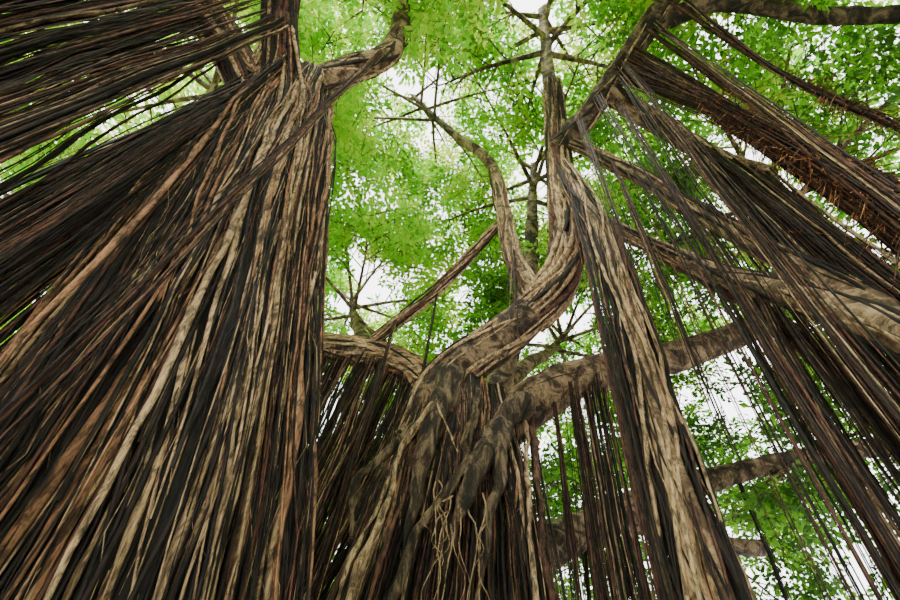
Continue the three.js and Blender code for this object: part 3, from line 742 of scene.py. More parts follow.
def clinging(name, count, low, high, turns, thin, thick, tan=0.5, red=0.2):
    """Roots that run along a limb, half sunk in its bark, and cross each other."""
    path, radius = limb_path(name)
    span = high - low
    for i, seed, draw in seeded(count, 1.9, len(name) * 5.3):
        start = low + span * 0.35 * draw(1) * (i % 3 == 0)
        stop = high - span * 0.45 * draw(2) * (i % 4 == 1)
        shares = np.linspace(start, stop, max(8, int(path.length * (stop - start) / 0.22)))
        way = -0.7 if i % 3 == 2 else 1
        angle = (math.tau * (i + 0.8 * draw(3)) / count + way * turns * math.tau * (shares - low) / span
                 + 0.4 * np.sin(shares * path.length * 1.4 + seed))
        size = thin + (thick - thin) * draw(4) ** 1.7
        steps = np.arange(len(shares))
        ends = np.clip(np.minimum(steps, steps[::-1]) / 3 + 0.35, 0, 1)
        line = round_limb(path, shares, angle, radius(shares) + size * 0.3)
        yield line, size * ends, kind_of(draw(5), tan, red)


def braided(name, count):
    """A pillar of separate thick roots that lean on each other, with gaps between them."""
    path, radius = limb_path(name)
    shares = np.linspace(0, 1, 50)
    for i, seed, draw in seeded(count, 2.7, 0.4):
        turn = (math.tau * (i + 0.4 * draw()) / count + (draw(1) - 0.3) * 2.4 * shares
                + 0.3 * np.sin(shares * 9 + seed))
        size = radius(shares) * (0.16 + 0.22 * draw(2))
        away = (radius(shares) - size) * (0.8 + 0.25 * np.sin(shares * 7 + seed * 2))
        yield round_limb(path, shares, turn, away), size, 1 if i % 4 == 2 else kind_of(draw(3), 0.5, 0.0)


CLUMP = 12


def plumb_roots(name, low, high, count, reach=1.0):
    """Clumps of thin roots that hang straight down from a limb's underside, some of them to the ground."""
    path, radius = limb_path(name)
    shares = np.linspace(0, 1, 14)
    taper = np.clip(shares * 4 + 0.25, 0, 1)
    for i, seed, draw in seeded(count, 1.71, len(name) * 2.1):
        clump = i // CLUMP
        whole = draws(clump * 1.53 + len(name) * 2.1 + low * 7)
        share = low + (high - low) * (clump + whole()) / (count / CLUMP) + 0.008 * (draw() - 0.5)
        aside = level(math.tau * whole(1) + 0.9 * (draw(1) - 0.5)) * float(radius(min(share, 1))) * 0.8
        head = path.at(share) + aside
        run = head[2] * min((0.3 + 0.8 * whole(2) + 0.3 * draw(2)) * reach, 1)
        foot = head * (1, 1, 0) + aside * 0.4 + level(seed) * 0.16 * draw(4) + UP * max(head[2] - run, 0)
        size = 0.004 + 0.012 * draw(3) ** 2.5
        yield foot + (head - foot) * shares[:, None], size * taper, kind_of(draw(5), 0.07, 0.35)


def stem_surface(name, share, angle, off=0.0):
    """A point on a stem's side or off it, with the flutes of the source and finer ridges of fused roots."""
    spec = STEMS[name]
    axis, radius = Path(spec["path"]).at(share), profile(spec["radii"])(share)
    flute = 1 + spec["depth"] * np.cos(spec["flutes"] * angle) * (1 - 0.4 * share)
    seed = len(name)
    drift = 1.1 * np.sin(share * 3.1 + seed) + 0.35 * np.sin(share * 11 + angle * 2)
    ridges = (0.045 * np.abs(np.sin(9.5 * angle + drift))
              + 0.03 * np.abs(np.sin(17 * angle - 1.7 * drift + seed))
              + 0.015 * np.sin(31 * angle + 5 * drift + 9 * share))
    reach = radius * (flute + ridges - 0.05)
    return axis + level(angle) * np.expand_dims(reach, -1) + level(angle) * np.expand_dims(off, -1)


def stem_line(name, seed, start, low, high, off, steps):
    """A line down a stem's side that drifts round it and stands off by a distance."""
    shares = np.linspace(low, high, steps)
    turn = (chance(seed, 1) - 0.5) * (2.4 if chance(seed, 10) < 0.22 else 0.8)
    angle = start + turn * shares + 0.045 * np.sin(shares * 9 + seed) + 0.016 * np.sin(shares * 27 + 2 * seed)
    return stem_surface(name, shares, angle, off)


# The left stem's strips: up to which bearing in degrees, and the shares of tan and of weathered roots.
STRIPS = [(5, 0.2, 0.1), (30, 0.9, 0.05), (200, 0.5, 0.2), (300, 0.42, 0.46), (325, 0.9, 0.05), (338, 0.1, 0.3),
          (360, 0.25, 0.1)]
TRUNK_MIX = (0.08, 0.2)


def stem_roots(name, count):
    """Pale fused roots down a stem with gaps between them, thicker at the foot."""
    for i, seed, draw in seeded(count, 3.7, len(name)):
        start = math.tau * (i + 0.9 * draw()) / count
        facing = math.degrees(start) % 360
        mix = TRUNK_MIX if name == "trunk" else next(shares for end, *shares in STRIPS if facing < end)
        kind = kind_of(draw(3), *mix)
        radii = (0.008 + 0.026 * draw(2) ** 1.5) * (0.5 if kind == DARK_KIND else 1) * np.linspace(1.2, 0.6, 30)
        high = 1 - 0.5 * draw(8) * (i % 3 == 0)
        yield stem_line(name, seed, start, 0, high, radii * 0.55 + 0.05 * draw(9), 30), radii, kind


def shoulder_roots(count):
    """Roots that come along the left stem's boughs and flow down its side."""
    boughs = [b for b in BOUGHS if b.startswith("stem_bough")]
    shares = np.linspace(0, 1, 34)
    taper = np.interp(shares, [0, 0.1, 0.7, 1], [0.3, 0.85, 1, 0.12])
    for i, seed, draw in seeded(count, 2.11):
        path, radius = bough_path(boughs[i % len(boughs)])
        far, lean = 0.1 + 0.5 * draw(1), 2.6 * (draw(2) - 0.5)
        points = []
        for share in (far, far * 0.6, max(far * 0.3, 0.1)):
            side = np.cross(path.heading(share), UP)
            side = side / np.linalg.norm(side)
            out = side * math.sin(lean) - UP * math.cos(lean)
            points.append(path.at(share) + out * float(radius(share)) * 1.05)
        way = path.heading(0.1)
        angle = math.atan2(way[1], way[0]) - lean * 0.7
        for share, drift in ((0.86, 0), (0.72, 0.2), (0.58, 0.35), (0.45 - 0.35 * draw(5), 0.5)):
            turn = angle + drift * 1.6 * (draw(3) - 0.5)
            points.append(stem_surface("left_stem", np.float64(share), np.float64(turn), 0.04 + 0.08 * draw(4)))
        kind = kind_of(draw(7), 0.4, 0.25)
        size = (0.008 + 0.024 * draw(6) ** 1.7) * (0.5 if kind == DARK_KIND else 1) * taper
        yield Path(points).at(shares), size, kind


def stem_threads(name, count):
    """Dark thin roots that fill the gaps on a stem's side, some of them hanging just off it."""
    for i, seed, draw in seeded(count, 2.9, len(name) * 3):
        high = 1 - 0.5 * draw(1) ** 2
        low = 0.5 * draw(2) * (i % 3 == 0) * high
        off = 0.005 + 0.11 * draw(5) ** 2 * np.sin(np.linspace(0.3, 1, 16) * math.pi)
        line = stem_line(name, seed, math.tau * draw(3), low, high, off, 16)
        yield line, 0.005 + 0.012 * draw(6) ** 2, kind_of(draw(7), 0.14, 0.2)


def tangle(name, count):
    """Wiry rootlets that cross the strips on a stem's side."""
    drops = np.linspace(0, 1, 7)
    for i, seed, draw in seeded(count, 1.31, len(name) * 2):
        angle = math.tau * draw(3) + (draw(4) - 0.5) * 0.32 * drops + 0.02 * np.sin(drops * 11 + seed)
        shares = np.clip(0.95 * draw(1) + (0.03 + 0.11 * draw(2)) * drops, 0, 1)
        off = 0.03 + 0.05 * draw(5) + 0.03 * np.sin(drops * 5 + seed)
        size = (0.002 + 0.003 * draw(6)) * np.sin(0.3 + drops * 2.5)
        yield stem_surface(name, shares, angle, off), size, kind_of(draw(7), 0.4, 0.25)


AROUND, UPWARDS = 104, 64


def stem_mesh(name):
    """A stem's skin: rings of points, with a fan of faces at its foot and at its head."""
    share, angle = np.meshgrid(np.linspace(0, 1, UPWARDS), np.linspace(0, math.tau, AROUND, endpoint=False),
                               indexing="ij")
    points = stem_surface(name, share, angle).reshape(-1, 3)
    foot, head, top = len(points), len(points) + 1, len(points) - AROUND
    points = np.vstack([points, [STEMS[name]["path"][0]], [Path(STEMS[name]["path"]).at(1.0) + UP * 0.05]])
    j = np.arange(AROUND)
    k = (j + 1) % AROUND
    faces = [face for i in range(0, top, AROUND)
             for face in np.stack([i + j, i + k, i + k + AROUND, i + j + AROUND], 1).tolist()]
    for one, two in zip(j.tolist(), k.tolist()):
        faces += [(two, one, foot), (top + one, top + two, head)]
    return face_mesh(name + "_bark", points, faces, True)


class BANYAN_OT_stems(bpy.types.Operator):
    """Makes the trunk and the left stem with the ridges of fused roots, and the roots that run down them"""
    bl_idname = "banyan.stems"
    bl_label = "Grow Stems"

    def execute(self, context):
        sizes = context.scene.banyan_roots
        for name in STEMS:
            made = linked(name + "_bark", stem_mesh(name))
            # The stem's skin is painted near black as the shade between its strips.
            made.data.materials.append(look("Stem Core"))
            seated(made, "bark", name)
            for kind, strands, mix in (("roots", stem_roots(name, sizes.on_stem), STEM_MIX),
                                       ("thin_roots", stem_threads(name, sizes.stem_threads), ROOT_MIX),
                                       ("tangle", tangle(name, sizes.tangle), ROOT_MIX)):
                strands_piece(f"{name}_{kind}", strands, mix, "root", kind)
        strands_piece("left_stem_shoulder_roots", shoulder_roots(sizes.shoulders), STEM_MIX, "root",
                      "shoulder_roots")
        return {"FINISHED"}


# Limbs that roots run along: count, shares of the length, turns, thin and thick, share of tan roots.
CLINGING = [
    ("bough_left", 60, 0.0, 0.66, 0.35, 0.012, 0.038, 0.4),
    ("bough_rising", 14, 0.0, 0.45, 0.35, 0.01, 0.035, 0.5),
    ("bough_rising", 38, 0.3, 1.0, 0.3, 0.012, 0.055, 0.45),
    ("bough_right", 10, 0.0, 0.3, 0.3, 0.01, 0.03, 0.6),
    ("bough_middle", 16, 0.0, 0.7, 0.5, 0.01, 0.03, 0.4),
    ("bough_crossing", 10, 0.0, 0.5, 0.5, 0.01, 0.03, 0.4),
    ("bough_drooping", 12, 0.0, 1.0, 0.5, 0.01, 0.035, 0.4),
    ("roots_strut", 12, 0.0, 1.0, 0.6, 0.01, 0.03, 0.5),
    ("pillar_root", 40, 0.0, 1.0, 0.3, 0.007, 0.022, 0.3),
    ("prop_root_upper", 20, 0.3, 1.0, 0.4, 0.007, 0.026, 0.3),
    ("prop_root_lower", 20, 0.3, 1.0, 0.4, 0.007, 0.026, 0.3),
    ("stem_bough_rising", 34, 0.0, 0.9, 0.4, 0.012, 0.045, 0.2),
    ("stem_bough_outer", 34, 0.0, 0.9, 0.4, 0.012, 0.045, 0.2),
    ("stem_bough_front", 40, 0.0, 0.7, 0.4, 0.012, 0.04, 0.1),
    ("stem_bough_inner", 16, 0.0, 0.6, 0.4, 0.01, 0.035, 0.4),
]

# Boughs in half shade and in the deepest shade, whose bark is painted darker as shade, and pillars of separate
# roots.
HALF_SHADED = ("bough_left", "bough_low", "bough_low_fork", "bough_back", "bough_back_left", "bough_rising",
        "bough_inner")
SHADED = ("stem_bough_front", "stem_bough_outer", "stem_bough_rising", "bough_crossing", "bough_front_right")
BRAIDED = ("pillar_root", "roots_strut")
ROOTS_IN_BRAID, PILLAR_RELIEF, RELIEF_SIZE = 9, 0.6, 5.0


class BANYAN_OT_boughs(bpy.types.Operator):
    """Makes each bough and pillar root as one tapering limb with the bark's relief"""
    bl_idname = "banyan.boughs"
    bl_label = "Grow Boughs"

    def execute(self, context):
        relief = context.scene.banyan_bark.relief
        for name in [*BOUGHS, *PILLARS, "roots_strut"]:
            if name in BRAIDED:
                strands = braided(name, ROOTS_IN_BRAID)
                strands_piece(name + "_braid", strands, BRAID_MIX, "pale_root", "braid", name)
                continue
            # Painted shade: boughs in shade get the darker copies of the fig bark.
            bark = "Shaded Bark" if name in SHADED else "Damp Bark" if name in HALF_SHADED else "Fig Bark"
            bark, slot, style, high = (("Pale Bark", "pale_root", "pillar", relief * PILLAR_RELIEF)
                                       if name in PILLARS else (bark, "bark", "bough", relief))
            path, radius = limb_path(name)
            shares = np.linspace(0, 1, max(12, int(path.length / 0.2)))
            strands_piece(name + "_bark", [(path.at(shares), radius(shares), 0)], [bark], slot,
                          (*STYLES[style], high, RELIEF_SIZE), name)
        for name, count, *cling in CLINGING:
            strands_piece(f"{name}_roots_{count}", clinging(name, count, *cling),
                          LEVEL_MIX if name == "bough_left" else ROOT_MIX, "root", "clinging")
        return {"FINISHED"}


def hanging_axes(name):
    """The axes of a curtain's main strands, as the source hangs them from the limb's underside."""
    on, shares, count, thick, first, last, bend = HANGINGS[name]
    parent, radius = limb_path(on)
    low, high = shares
    marks = np.array([low, (low + high) / 2, high])
    header = Path(parent.at(marks) - UP * 0.9 * radius(marks)[:, None])
    first, last = np.array(first), np.array(last)
    axes = []
    for i in range(count):
        share = i / (count - 1)
        head = header.at(0.06 + 0.88 * share)
        foot = first + (last - first) * share
        middle = np.array(bend) if bend else foot + (head - foot) * 0.55
        axes.append(Path([foot, middle, head]))
    return axes, header


# How full some curtains are: share of the usual threads, how far they spread, loose roots, tan and red shares.
FULLNESS = {
    "roots_trunk_front": (0.35, 1.0, 0.4, 0.2, 0.4), "roots_trunk_right": (0.35, 1.0, 0.35, 0.15, 0.4),
    "roots_low": (0.4, 1.0, 0.4, 0.15, 0.3), "roots_back": (0.45, 1.0, 0.45, 0.16, 0.3),
    "roots_back_left": (0.45, 1.0, 0.45, 0.16, 0.3), "roots_far_left": (0.5, 1.0, 0.5, 0.16, 0.3),
    "roots_plumb": (0.3, 0.8, 0.3, 0.2, 0.4),
    "roots_high_bundle": (1.9, 0.6, 0, 0.06, 0.6), "roots_drooping": (1.2, 1.0, 0.9, 0.04, 0.2),
    "roots_thin_upper": (0.5, 0.35, 0, 0.1, 0.7), "roots_thin_lower": (0.5, 0.35, 0, 0.1, 0.7),
    "roots_slanting": (0.6, 0.6, 0, 0.15, 0.55), "roots_left_inner": (1.3, 1.3, 0.9, 0.22, 0.25),
    "roots_left_outer": (1.4, 1.0, 0.5, 0.07, 0.2), "roots_trunk_left": (1.4, 1.4, 1.9, 0.1, 0.28),
}


def hanging_strands(name, threads, loose):
    """Thin roots wound round the main strands of a curtain or bundle, and loose ones between them."""
    axes, header = hanging_axes(name)
    thick, bundled = HANGINGS[name][3], HANGINGS[name][-1] is not None
    full, wide, between, tan, red = FULLNESS.get(name, (1.0, 1.0, 1.0, 0.16, 0.3))
    core = np.linspace(0, 1, 30)
    for number, axis in enumerate(axes):
        yield axis.at(core), thick * (0.18 + 0.1 * core), kind_of(chance(number, 9), tan * 2, red)
        for i in range(int(threads * full)):
            draw = draws(i * 2.3 + number * 9.1 + len(name) * 7)
            if axis.points[0][2] > 0.1:
                start = 0.3 * draw(6) ** 2
            else:
                start = 0.04 + 0.55 * draw(5) if draw(4) < 0.45 else 0.0
            shares = np.linspace(start, 1, 18)
            turn = math.tau * draw(1) + 2.6 * (draw(2) - 0.5) * shares
            out = thick * wide * (0.3 + 2.9 * draw(8) ** 1.3) * (1.4 - 0.8 * shares)
            size = (0.004 + 0.02 * draw(3) ** 3.5) * swelling(shares, start)
            yield axis.at(shares) + level(turn) * out[:, None], size, kind_of(draw(7), tan, red)
    first, last = axes[0].points[0], axes[-1].points[0]
    side = np.cross(last - first, UP)
    side = side / np.linalg.norm(side)
    loose = 0 if bundled else int(loose * between)
    for i, seed, draw in seeded(loose, 1.71, len(name) * 3.3):
        spread, deep = (i + draw(1)) / loose, draw(2) - 0.5
        head = header.at(np.clip(spread + 0.2 * (draw(6) - 0.5), 0, 1)) + side * deep * 0.25
        foot = first + (last - first) * (1.08 * spread - 0.04) + side * deep * 1.1 * wide
        start = 0.04 + 0.6 * draw(5) if draw(4) < 0.5 else 0.0
        shares = np.linspace(start, 1, 16)
        stout = i % 13 == 5
        size = 0.02 + 0.014 * draw(3) if stout else 0.004 + 0.014 * draw(3) ** 2.5
        yield (Path([foot, foot + (head - foot) * 0.55, head]).at(shares), size * swelling(shares, start),
               kind_of(draw(7), 0.7 if stout else tan, red))


def rootlets(strands, count, seed0):
    """Short hairs that leave the thin roots' lower half."""
    for i, seed, draw in seeded(count, 1.7, seed0):
        points = strands[int(draw() * len(strands)) % len(strands)][0]
        foot = points[int(len(points) * (0.02 + 0.66 * draw(1) ** 1.2))]
        out = level(math.tau * draw(2)) + UP * (-0.6 - 1.2 * draw(3))
        tip = foot + out / np.linalg.norm(out) * (0.08 + 0.4 * draw(4) ** 2)
        if tip[2] > 0.05:
            yield np.array([foot, tip]), np.array([0.008, 0.004]), int(draw(5) < 0.5)


def round_trunk(count, gnarled=False):
    """Thin roots that hang from the fork down the trunk's sides, or the thick ones that snake between them."""
    axis, radius = Path(STEMS["trunk"]["path"]), profile(STEMS["trunk"]["radii"])
    for i, seed, draw in seeded(count, 1.37, 0.3 * gnarled):
        high = 0.55 + 0.45 * draw(2) ** 0.6
        out = level(math.radians(80 + 330 * (i + draw(1)) / count))
        head = axis.at(high) + out * (float(radius(high)) + 0.02)
        low = head * (1, 1, 0) + out * (0.1 + 0.5 * draw(3)) * 0.6
        start = 0.45 * draw(6) if draw(5) < 0.35 else 0.0
        shares = np.linspace(start, 1, 22)
        points = Path([low + out * 0.3, low + out * 0.02 + UP * head[2] * 0.6, head]).at(shares)
        size = 0.005 + 0.016 * draw(4) ** 3
        if gnarled:
            points = points + np.sin(shares * 13 + seed)[:, None] * np.cross(UP, out) * 0.1 - out * 0.12
            size = 0.03 + 0.035 * draw(4)
        yield points, size * swelling(shares, start, 0.3), kind_of(draw(7), 0.2 if gnarled else 0.06, 0.3)


# Roots that the boughs send down the trunk: radius at the head and at the foot, 0 for bark, 1 for tan or 2 for
# red, and the route.
FUSED = [
    (0.24, 0.02, 0, [(-0.06, -0.48, 6.45), (-0.23, -0.75, 5.67), (-0.3, -0.92, 5.11), (-0.33, -1, 4.73),
                     (-0.33, -1.07, 4.2), (-0.36, -1.14, 3.6)]),
    (0.2, 0.025, 0, [(0.86, -0.44, 6.16), (0.55, -0.68, 5.53), (0.36, -0.9, 5), (0.23, -1.03, 4.59),
                     (0.11, -1.12, 4.18), (0.01, -1.16, 3.79), (-0.02, -1.2, 3.4)]),
    (0.1, 0.02, 0, [(0.58, -0.73, 5.48), (0.48, -0.97, 4.86), (0.44, -1.06, 4.43), (0.35, -1.15, 4),
                    (0.27, -1.22, 3.2)]),
    (0.045, 0.03, 0, [(0.41, -0.81, 5.31), (0.15, -1.03, 4.68), (-0.07, -1.11, 4.21), (-0.35, -1.2, 3.47),
                      (-0.5, -1.5, 0)]),
    (0.06, 0.03, 0, [(0.23, -0.73, 5.81), (0.14, -0.92, 5.17), (0.11, -1.02, 4.67), (0.17, -1.11, 4.2)]),
    (0.075, 0.02, 0, [(-0.53, -0.75, 5.24), (-0.72, -0.87, 4.75), (-0.91, -0.94, 4.4), (-0.96, -1, 4.15),
                      (-0.84, -1.03, 3.7)]),
    (0.022, 0.04, 1, [(-0.33, -1, 5.43), (-0.55, -1.09, 4.8), (-0.59, -1.18, 4.2), (-0.64, -1.23, 3.75),
                      (-0.71, -1.32, 3.13), (-0.95, -1.5, 0)]),
    (0.014, 0.025, 2, [(-0.25, -0.95, 5.55), (-0.39, -1.08, 4.81), (-0.47, -1.17, 4.05), (-0.55, -1.29, 3.14),
                       (-0.6, -1.5, 0)]),
    (0.012, 0.025, 1, [(-0.41, -0.95, 5.26), (-0.6, -1.11, 4.48), (-0.73, -1.22, 3.73), (-0.8, -1.33, 3.14),
                       (-1.1, -1.5, 0)]),
    (0.012, 0.02, 2, [(-0.03, -1.01, 4.93), (-0.05, -1.11, 4.16), (-0.05, -1.26, 3.22), (-0.05, -1.5, 0)]),
    (0.03, 0.04, 2, [(1, -0.37, 6.01), (0.96, -0.67, 4.97), (0.97, -0.77, 4.15), (1.1, -1.1, 0)]),
    (0.022, 0.035, 1, [(0.88, -0.44, 5.86), (0.84, -0.74, 4.77), (0.82, -0.84, 4.05), (0.8, -1.2, 0)]),
    (0.035, 0.02, 0, [(0.24, -0.78, 5.97), (0.12, -1.02, 5.23), (0.04, -1.11, 4.79)]),
    (0.014, 0.01, 1, [(-0.3, -1, 5.49), (-0.13, -1.05, 5.08), (0.02, -1.11, 4.71)]),
    (0.1, 0.08, 0, [(0.15, 0.75, 6.2), (0.4, 0.95, 4.6), (0.3, 1.1, 2.6), (0.45, 1.4, 0)]),
    (0.09, 0.07, 0, [(-0.6, 0.5, 6.2), (-0.85, 0.35, 4.6), (-0.8, 0.5, 2.4), (-1.2, 0.7, 0)]),
]


def fused_limbs():
    """The thick roots that the boughs send down the trunk."""
    shares = np.linspace(0, 1, 34)
    return [(Path(route).at(shares), head + (foot - head) * shares, kind) for head, foot, kind, route in FUSED]


def wiry_roots(count):
    """Pale wiry roots that curl off the fork's underside."""
    drops = np.linspace(0, 1, 17)
    for i, seed, draw in seeded(count, 2.17):
        out = level(math.radians(258 + 24 * draw()))
        foot = Path(STEMS["trunk"]["path"]).at(0.6 + 0.1 * draw(1)) + out * 1.22
        curl = np.sin(drops * (3 + 6 * draw(3)) + seed) * 0.06 + np.sin(drops * 14 + seed) * 0.018
        fall = out * 0.14 - UP * (0.5 + 1.1 * draw(2))
        line = foot + curl[:, None] * np.cross(UP, out) + fall * drops[:, None]
        yield line, 0.009 * (1 - 0.75 * drops), 0


# Limbs that thin roots hang plumb from: shares of the length, count, and how far down they reach.
PLUMB = [
    ("bough_left", 0.04, 0.5, 252), ("bough_right", 0.14, 0.5, 48), ("bough_low", 0.25, 0.75, 36),
    ("bough_rising", 0.64, 0.8, 24), ("bough_crossing", 0.02, 0.34, 72), ("bough_drooping", 0.1, 1.0, 84),
    ("bough_middle", 0.22, 0.5, 36, 0.25), ("prop_root_upper", 0.4, 0.92, 84), ("prop_root_lower", 0.4, 0.9, 48),
    ("roots_strut", 0.05, 0.7, 24),
    ("stem_bough_inner", 0.05, 0.6, 24), ("stem_bough_rising", 0.1, 0.9, 60),
    ("stem_bough_outer", 0.02, 0.5, 144, 0.8), ("stem_bough_front", 0.02, 0.4, 204, 0.6),
    ("bough_back", 0.2, 0.7, 24), ("bough_back_left", 0.2, 0.7, 24),
]
WIRY_ROOTS, GNARLED_ROOTS = 14, 26


class BANYAN_OT_hanging_roots(bpy.types.Operator):
    """Makes the hanging curtains and bundles of thin roots"""
    bl_idname = "banyan.hanging_roots"
    bl_label = "Hang Roots"

    def execute(self, context):
        sizes = context.scene.banyan_roots
        for name, (*_, first, last, bend) in HANGINGS.items():
            loose = int(sizes.strands * np.linalg.norm(np.subtract(first, last)))
            strands = list(hanging_strands(name, sizes.threads, loose))
            strands_piece(name + "_strands", strands, ROOT_MIX, "root", "strands", name)
            if bend or name == "roots_drooping":
                hairs = sizes.hairs * (3 if name == "roots_high_bundle" else 1)
                strands_piece(name + "_rootlets", rootlets(strands, hairs, len(name)), YOUNG_MIX, "root",
                              "rootlets")
        for name, *hang in PLUMB:
            strands_piece(name + "_plumb", plumb_roots(name, *hang), ROOT_MIX, "root", "plumb")
        strands_piece("fused_limbs", fused_limbs(), FUSED_MIX, "bark", "fused_limbs")
        for name, strands in (("wiry_roots", wiry_roots(WIRY_ROOTS)),
                              ("trunk_gnarled_roots", round_trunk(GNARLED_ROOTS, True)),
                              ("trunk_curtain", round_trunk(sizes.round_trunk))):
            strands_piece(name, strands, ROOT_MIX, "root", name)
        return {"FINISHED"}


def turned(way, angle):
    """A heading turned round the upright axis."""
    c, s = np.cos(angle), np.sin(angle)
    return np.stack([way[..., 0] * c - way[..., 1] * s, way[..., 0] * s + way[..., 1] * c, way[..., 2]], -1)


MAIN_TWIGS = 11


def on_mass(name, sizes):
    """The stem of a mass and its main twigs by the source's rule: axis, thickness and a main twig's seed."""
    space = SPACES[name]
    middle, size, seed = space["middle"], space["size"], space["seed"]
    path, radius = bough_path(next(b for b in BOUGHS if BOUGHS[b][0] == name))
    tip, thick = path.at(1.0), float(radius(1.0))
    stem = Path([tip, tip + path.heading(1.0) * 0.4, middle + UP * 0.15 * size[2]])
    yield stem, thick, None
    for i in range(MAIN_TWIGS):
        part = (i + 0.5) / MAIN_TWIGS
        rise = -0.55 + 1.5 * part
        turn = i * GOLDEN_TURN + chance(seed, i) * 0.7
        way = level(turn) * math.sqrt(1 - min(rise, 0.98) ** 2) + UP * rise
        foot = stem.at(0.3 + 0.66 * part)
        end = middle + way * size * 1.14
        if not in_space(end, name, 0):
            end = middle + way * size * sizes.reach * 0.92
        end[2] = min(end[2], CROWN_TOP)
        yield Path([foot, (foot + end) / 2 + UP * 0.1 * size[2], end]), thick, seed + i


def mass_growth(name, sizes):
    """The source's rule carried on: stem, main twigs, side twigs and twiglets, and the places of the sprays."""
    limbs, places, headings = [], [], []
    twig = np.array([0.012, 0.009, 0.005])
    for main, thick, seed in on_mass(name, sizes):
        if seed is None:
            shares = np.linspace(0, 1, 12)
            limbs.append((main.at(shares), thick * (1.1 - 0.4 * shares), 0))
            continue
        shares = np.linspace(0, 1, 9)
        limbs.append((main.at(shares), thick * 0.5 * (1 - 0.8 * shares), 0))
        for j in range(sizes.side_twigs):
            along = 0.22 + 0.76 * (j + 0.5) / sizes.side_twigs
            start = main.at(along)
            heading = turned(main.heading(along), (1 if j % 2 else -1) * (0.7 + 0.5 * chance(seed, j)))
            heading[2] += (chance(seed, j, 3) - 0.42) * 1.1
            heading = heading / np.linalg.norm(heading)
            run = (1.5 + 0.9 * chance(seed, j, 5)) * (1.15 - 0.5 * along)
            stop = start + heading * run
            if not in_space(stop, name, sizes.reach):
                stop = start + heading * run * 0.5
            stop[2] = min(stop[2], CROWN_TOP)
            side = Path([start, (start + stop) / 2 + UP * 0.08, stop])
            shares = np.linspace(0, 1, 5)
            limbs.append((side.at(shares), thick * 0.16 * (1 - 0.7 * shares), 0))
            for k in range(sizes.twiglets):
                hand = 1.0 if k % 2 else -1.0
                spot = side.at(0.2 + 0.8 * (k + 0.5) / sizes.twiglets)
                off = turned(side.heading(0.5), hand * (0.5 + 0.9 * chance(seed, j + 20, k)))
                off[2] += (chance(seed, j + 40, k) - 0.5) * 1.3
                off = off / np.linalg.norm(off)
                tip = spot + off * (0.3 + 0.35 * chance(seed, j + 60, k))
                if in_space(tip + off * 0.5, name, sizes.reach):
                    limbs.append((np.array([spot, (spot + tip) / 2 + UP * 0.03, tip]), twig, 0))
                    places += [spot + (tip - spot) * 0.3, spot + (tip - spot) * 0.7, tip]
                    headings += [turned(off, hand), turned(off, -0.8 * hand), off]
    places, headings = np.array(places), np.array(headings)
    lit = ~under_bough(places, "bough_crossing")
    return limbs, places[lit], headings[lit]


# A leaf's outline in shares of its length and width, folded on its midrib.
LEAF_OUTLINE = np.array([(0, 0, 0), (0.44, -0.5, 0.12), (1, 0, -0.08), (0.44, 0.5, 0.12)])


def spray_mesh(variant, sizes):
    """A spray along +X: pointed leaves set loosely on a drooping twig, each two faces folded on its midrib."""
    points, faces = [], []
    for i in range(sizes.leaves_on_spray):
        draw = draws(variant * 31 + i)
        share = (i + 0.6) / sizes.leaves_on_spray
        side = 1 if i % 2 else -1
        foot = np.array([0.52 * share, side * 0.03 + 0.08 * (draw(5) - 0.5),
                         -0.09 * share + 0.1 * (draw(6) - 0.5)])
        turn = (Matrix.Rotation(side * (1.3 - 0.8 * share) + 0.9 * (draw(1) - 0.5), 3, "Z")
                @ Matrix.Rotation(0.3 - 1.3 * (draw(2) - 0.5), 3, "Y")
                @ Matrix.Rotation(side * 0.25 + 1.5 * (draw(3) - 0.5), 3, "X"))
        size = 0.8 + 0.4 * draw(4)
        long, wide = sizes.leaf_length * size, sizes.leaf_width * size
        start = len(points)
        points += list(foot + LEAF_OUTLINE * (long, wide, wide) @ np.array(turn).T)
        faces += [(start, start + 1, start + 2), (start, start + 2, start + 3)]
    return face_mesh(f"leaf_spray_{variant + 1}", points, faces)


def twig_mesh():
    """The thin twig of a spray along +X: a slim three-sided cone."""
    points = [(0, 0.008 * math.cos(a), 0.008 * math.sin(a)) for a in (0, 2.1, 4.2)] + [(0.5, 0, -0.08)]
    return face_mesh("spray_twig", points, [(0, 1, 3), (1, 2, 3), (2, 0, 3), (2, 1, 0)])


def kept_away(mesh):
    """An object for the trees to place, which isn't part of the scene."""
    return bpy.data.objects.get(mesh.name) or bpy.data.objects.new(mesh.name, mesh)


# The shares up to which a ring's sprays are bright, fresh and mid, which paint shade on the low rim and light on
# the mid and top rings, how many neighbours are alike, how much the sprays darken with each metre towards +X as
# painted shade on that side of the crown, and how much brighter a leaf glows than its face.
LIGHT = {"rim": (0.18, 0.46, 0.74), "mid": (0.34, 0.62, 0.84), "top": (0.38, 0.66, 0.86)}
CLUSTER, SHADE_BY_METRE, GLOW = 12, 0.026, 2.0


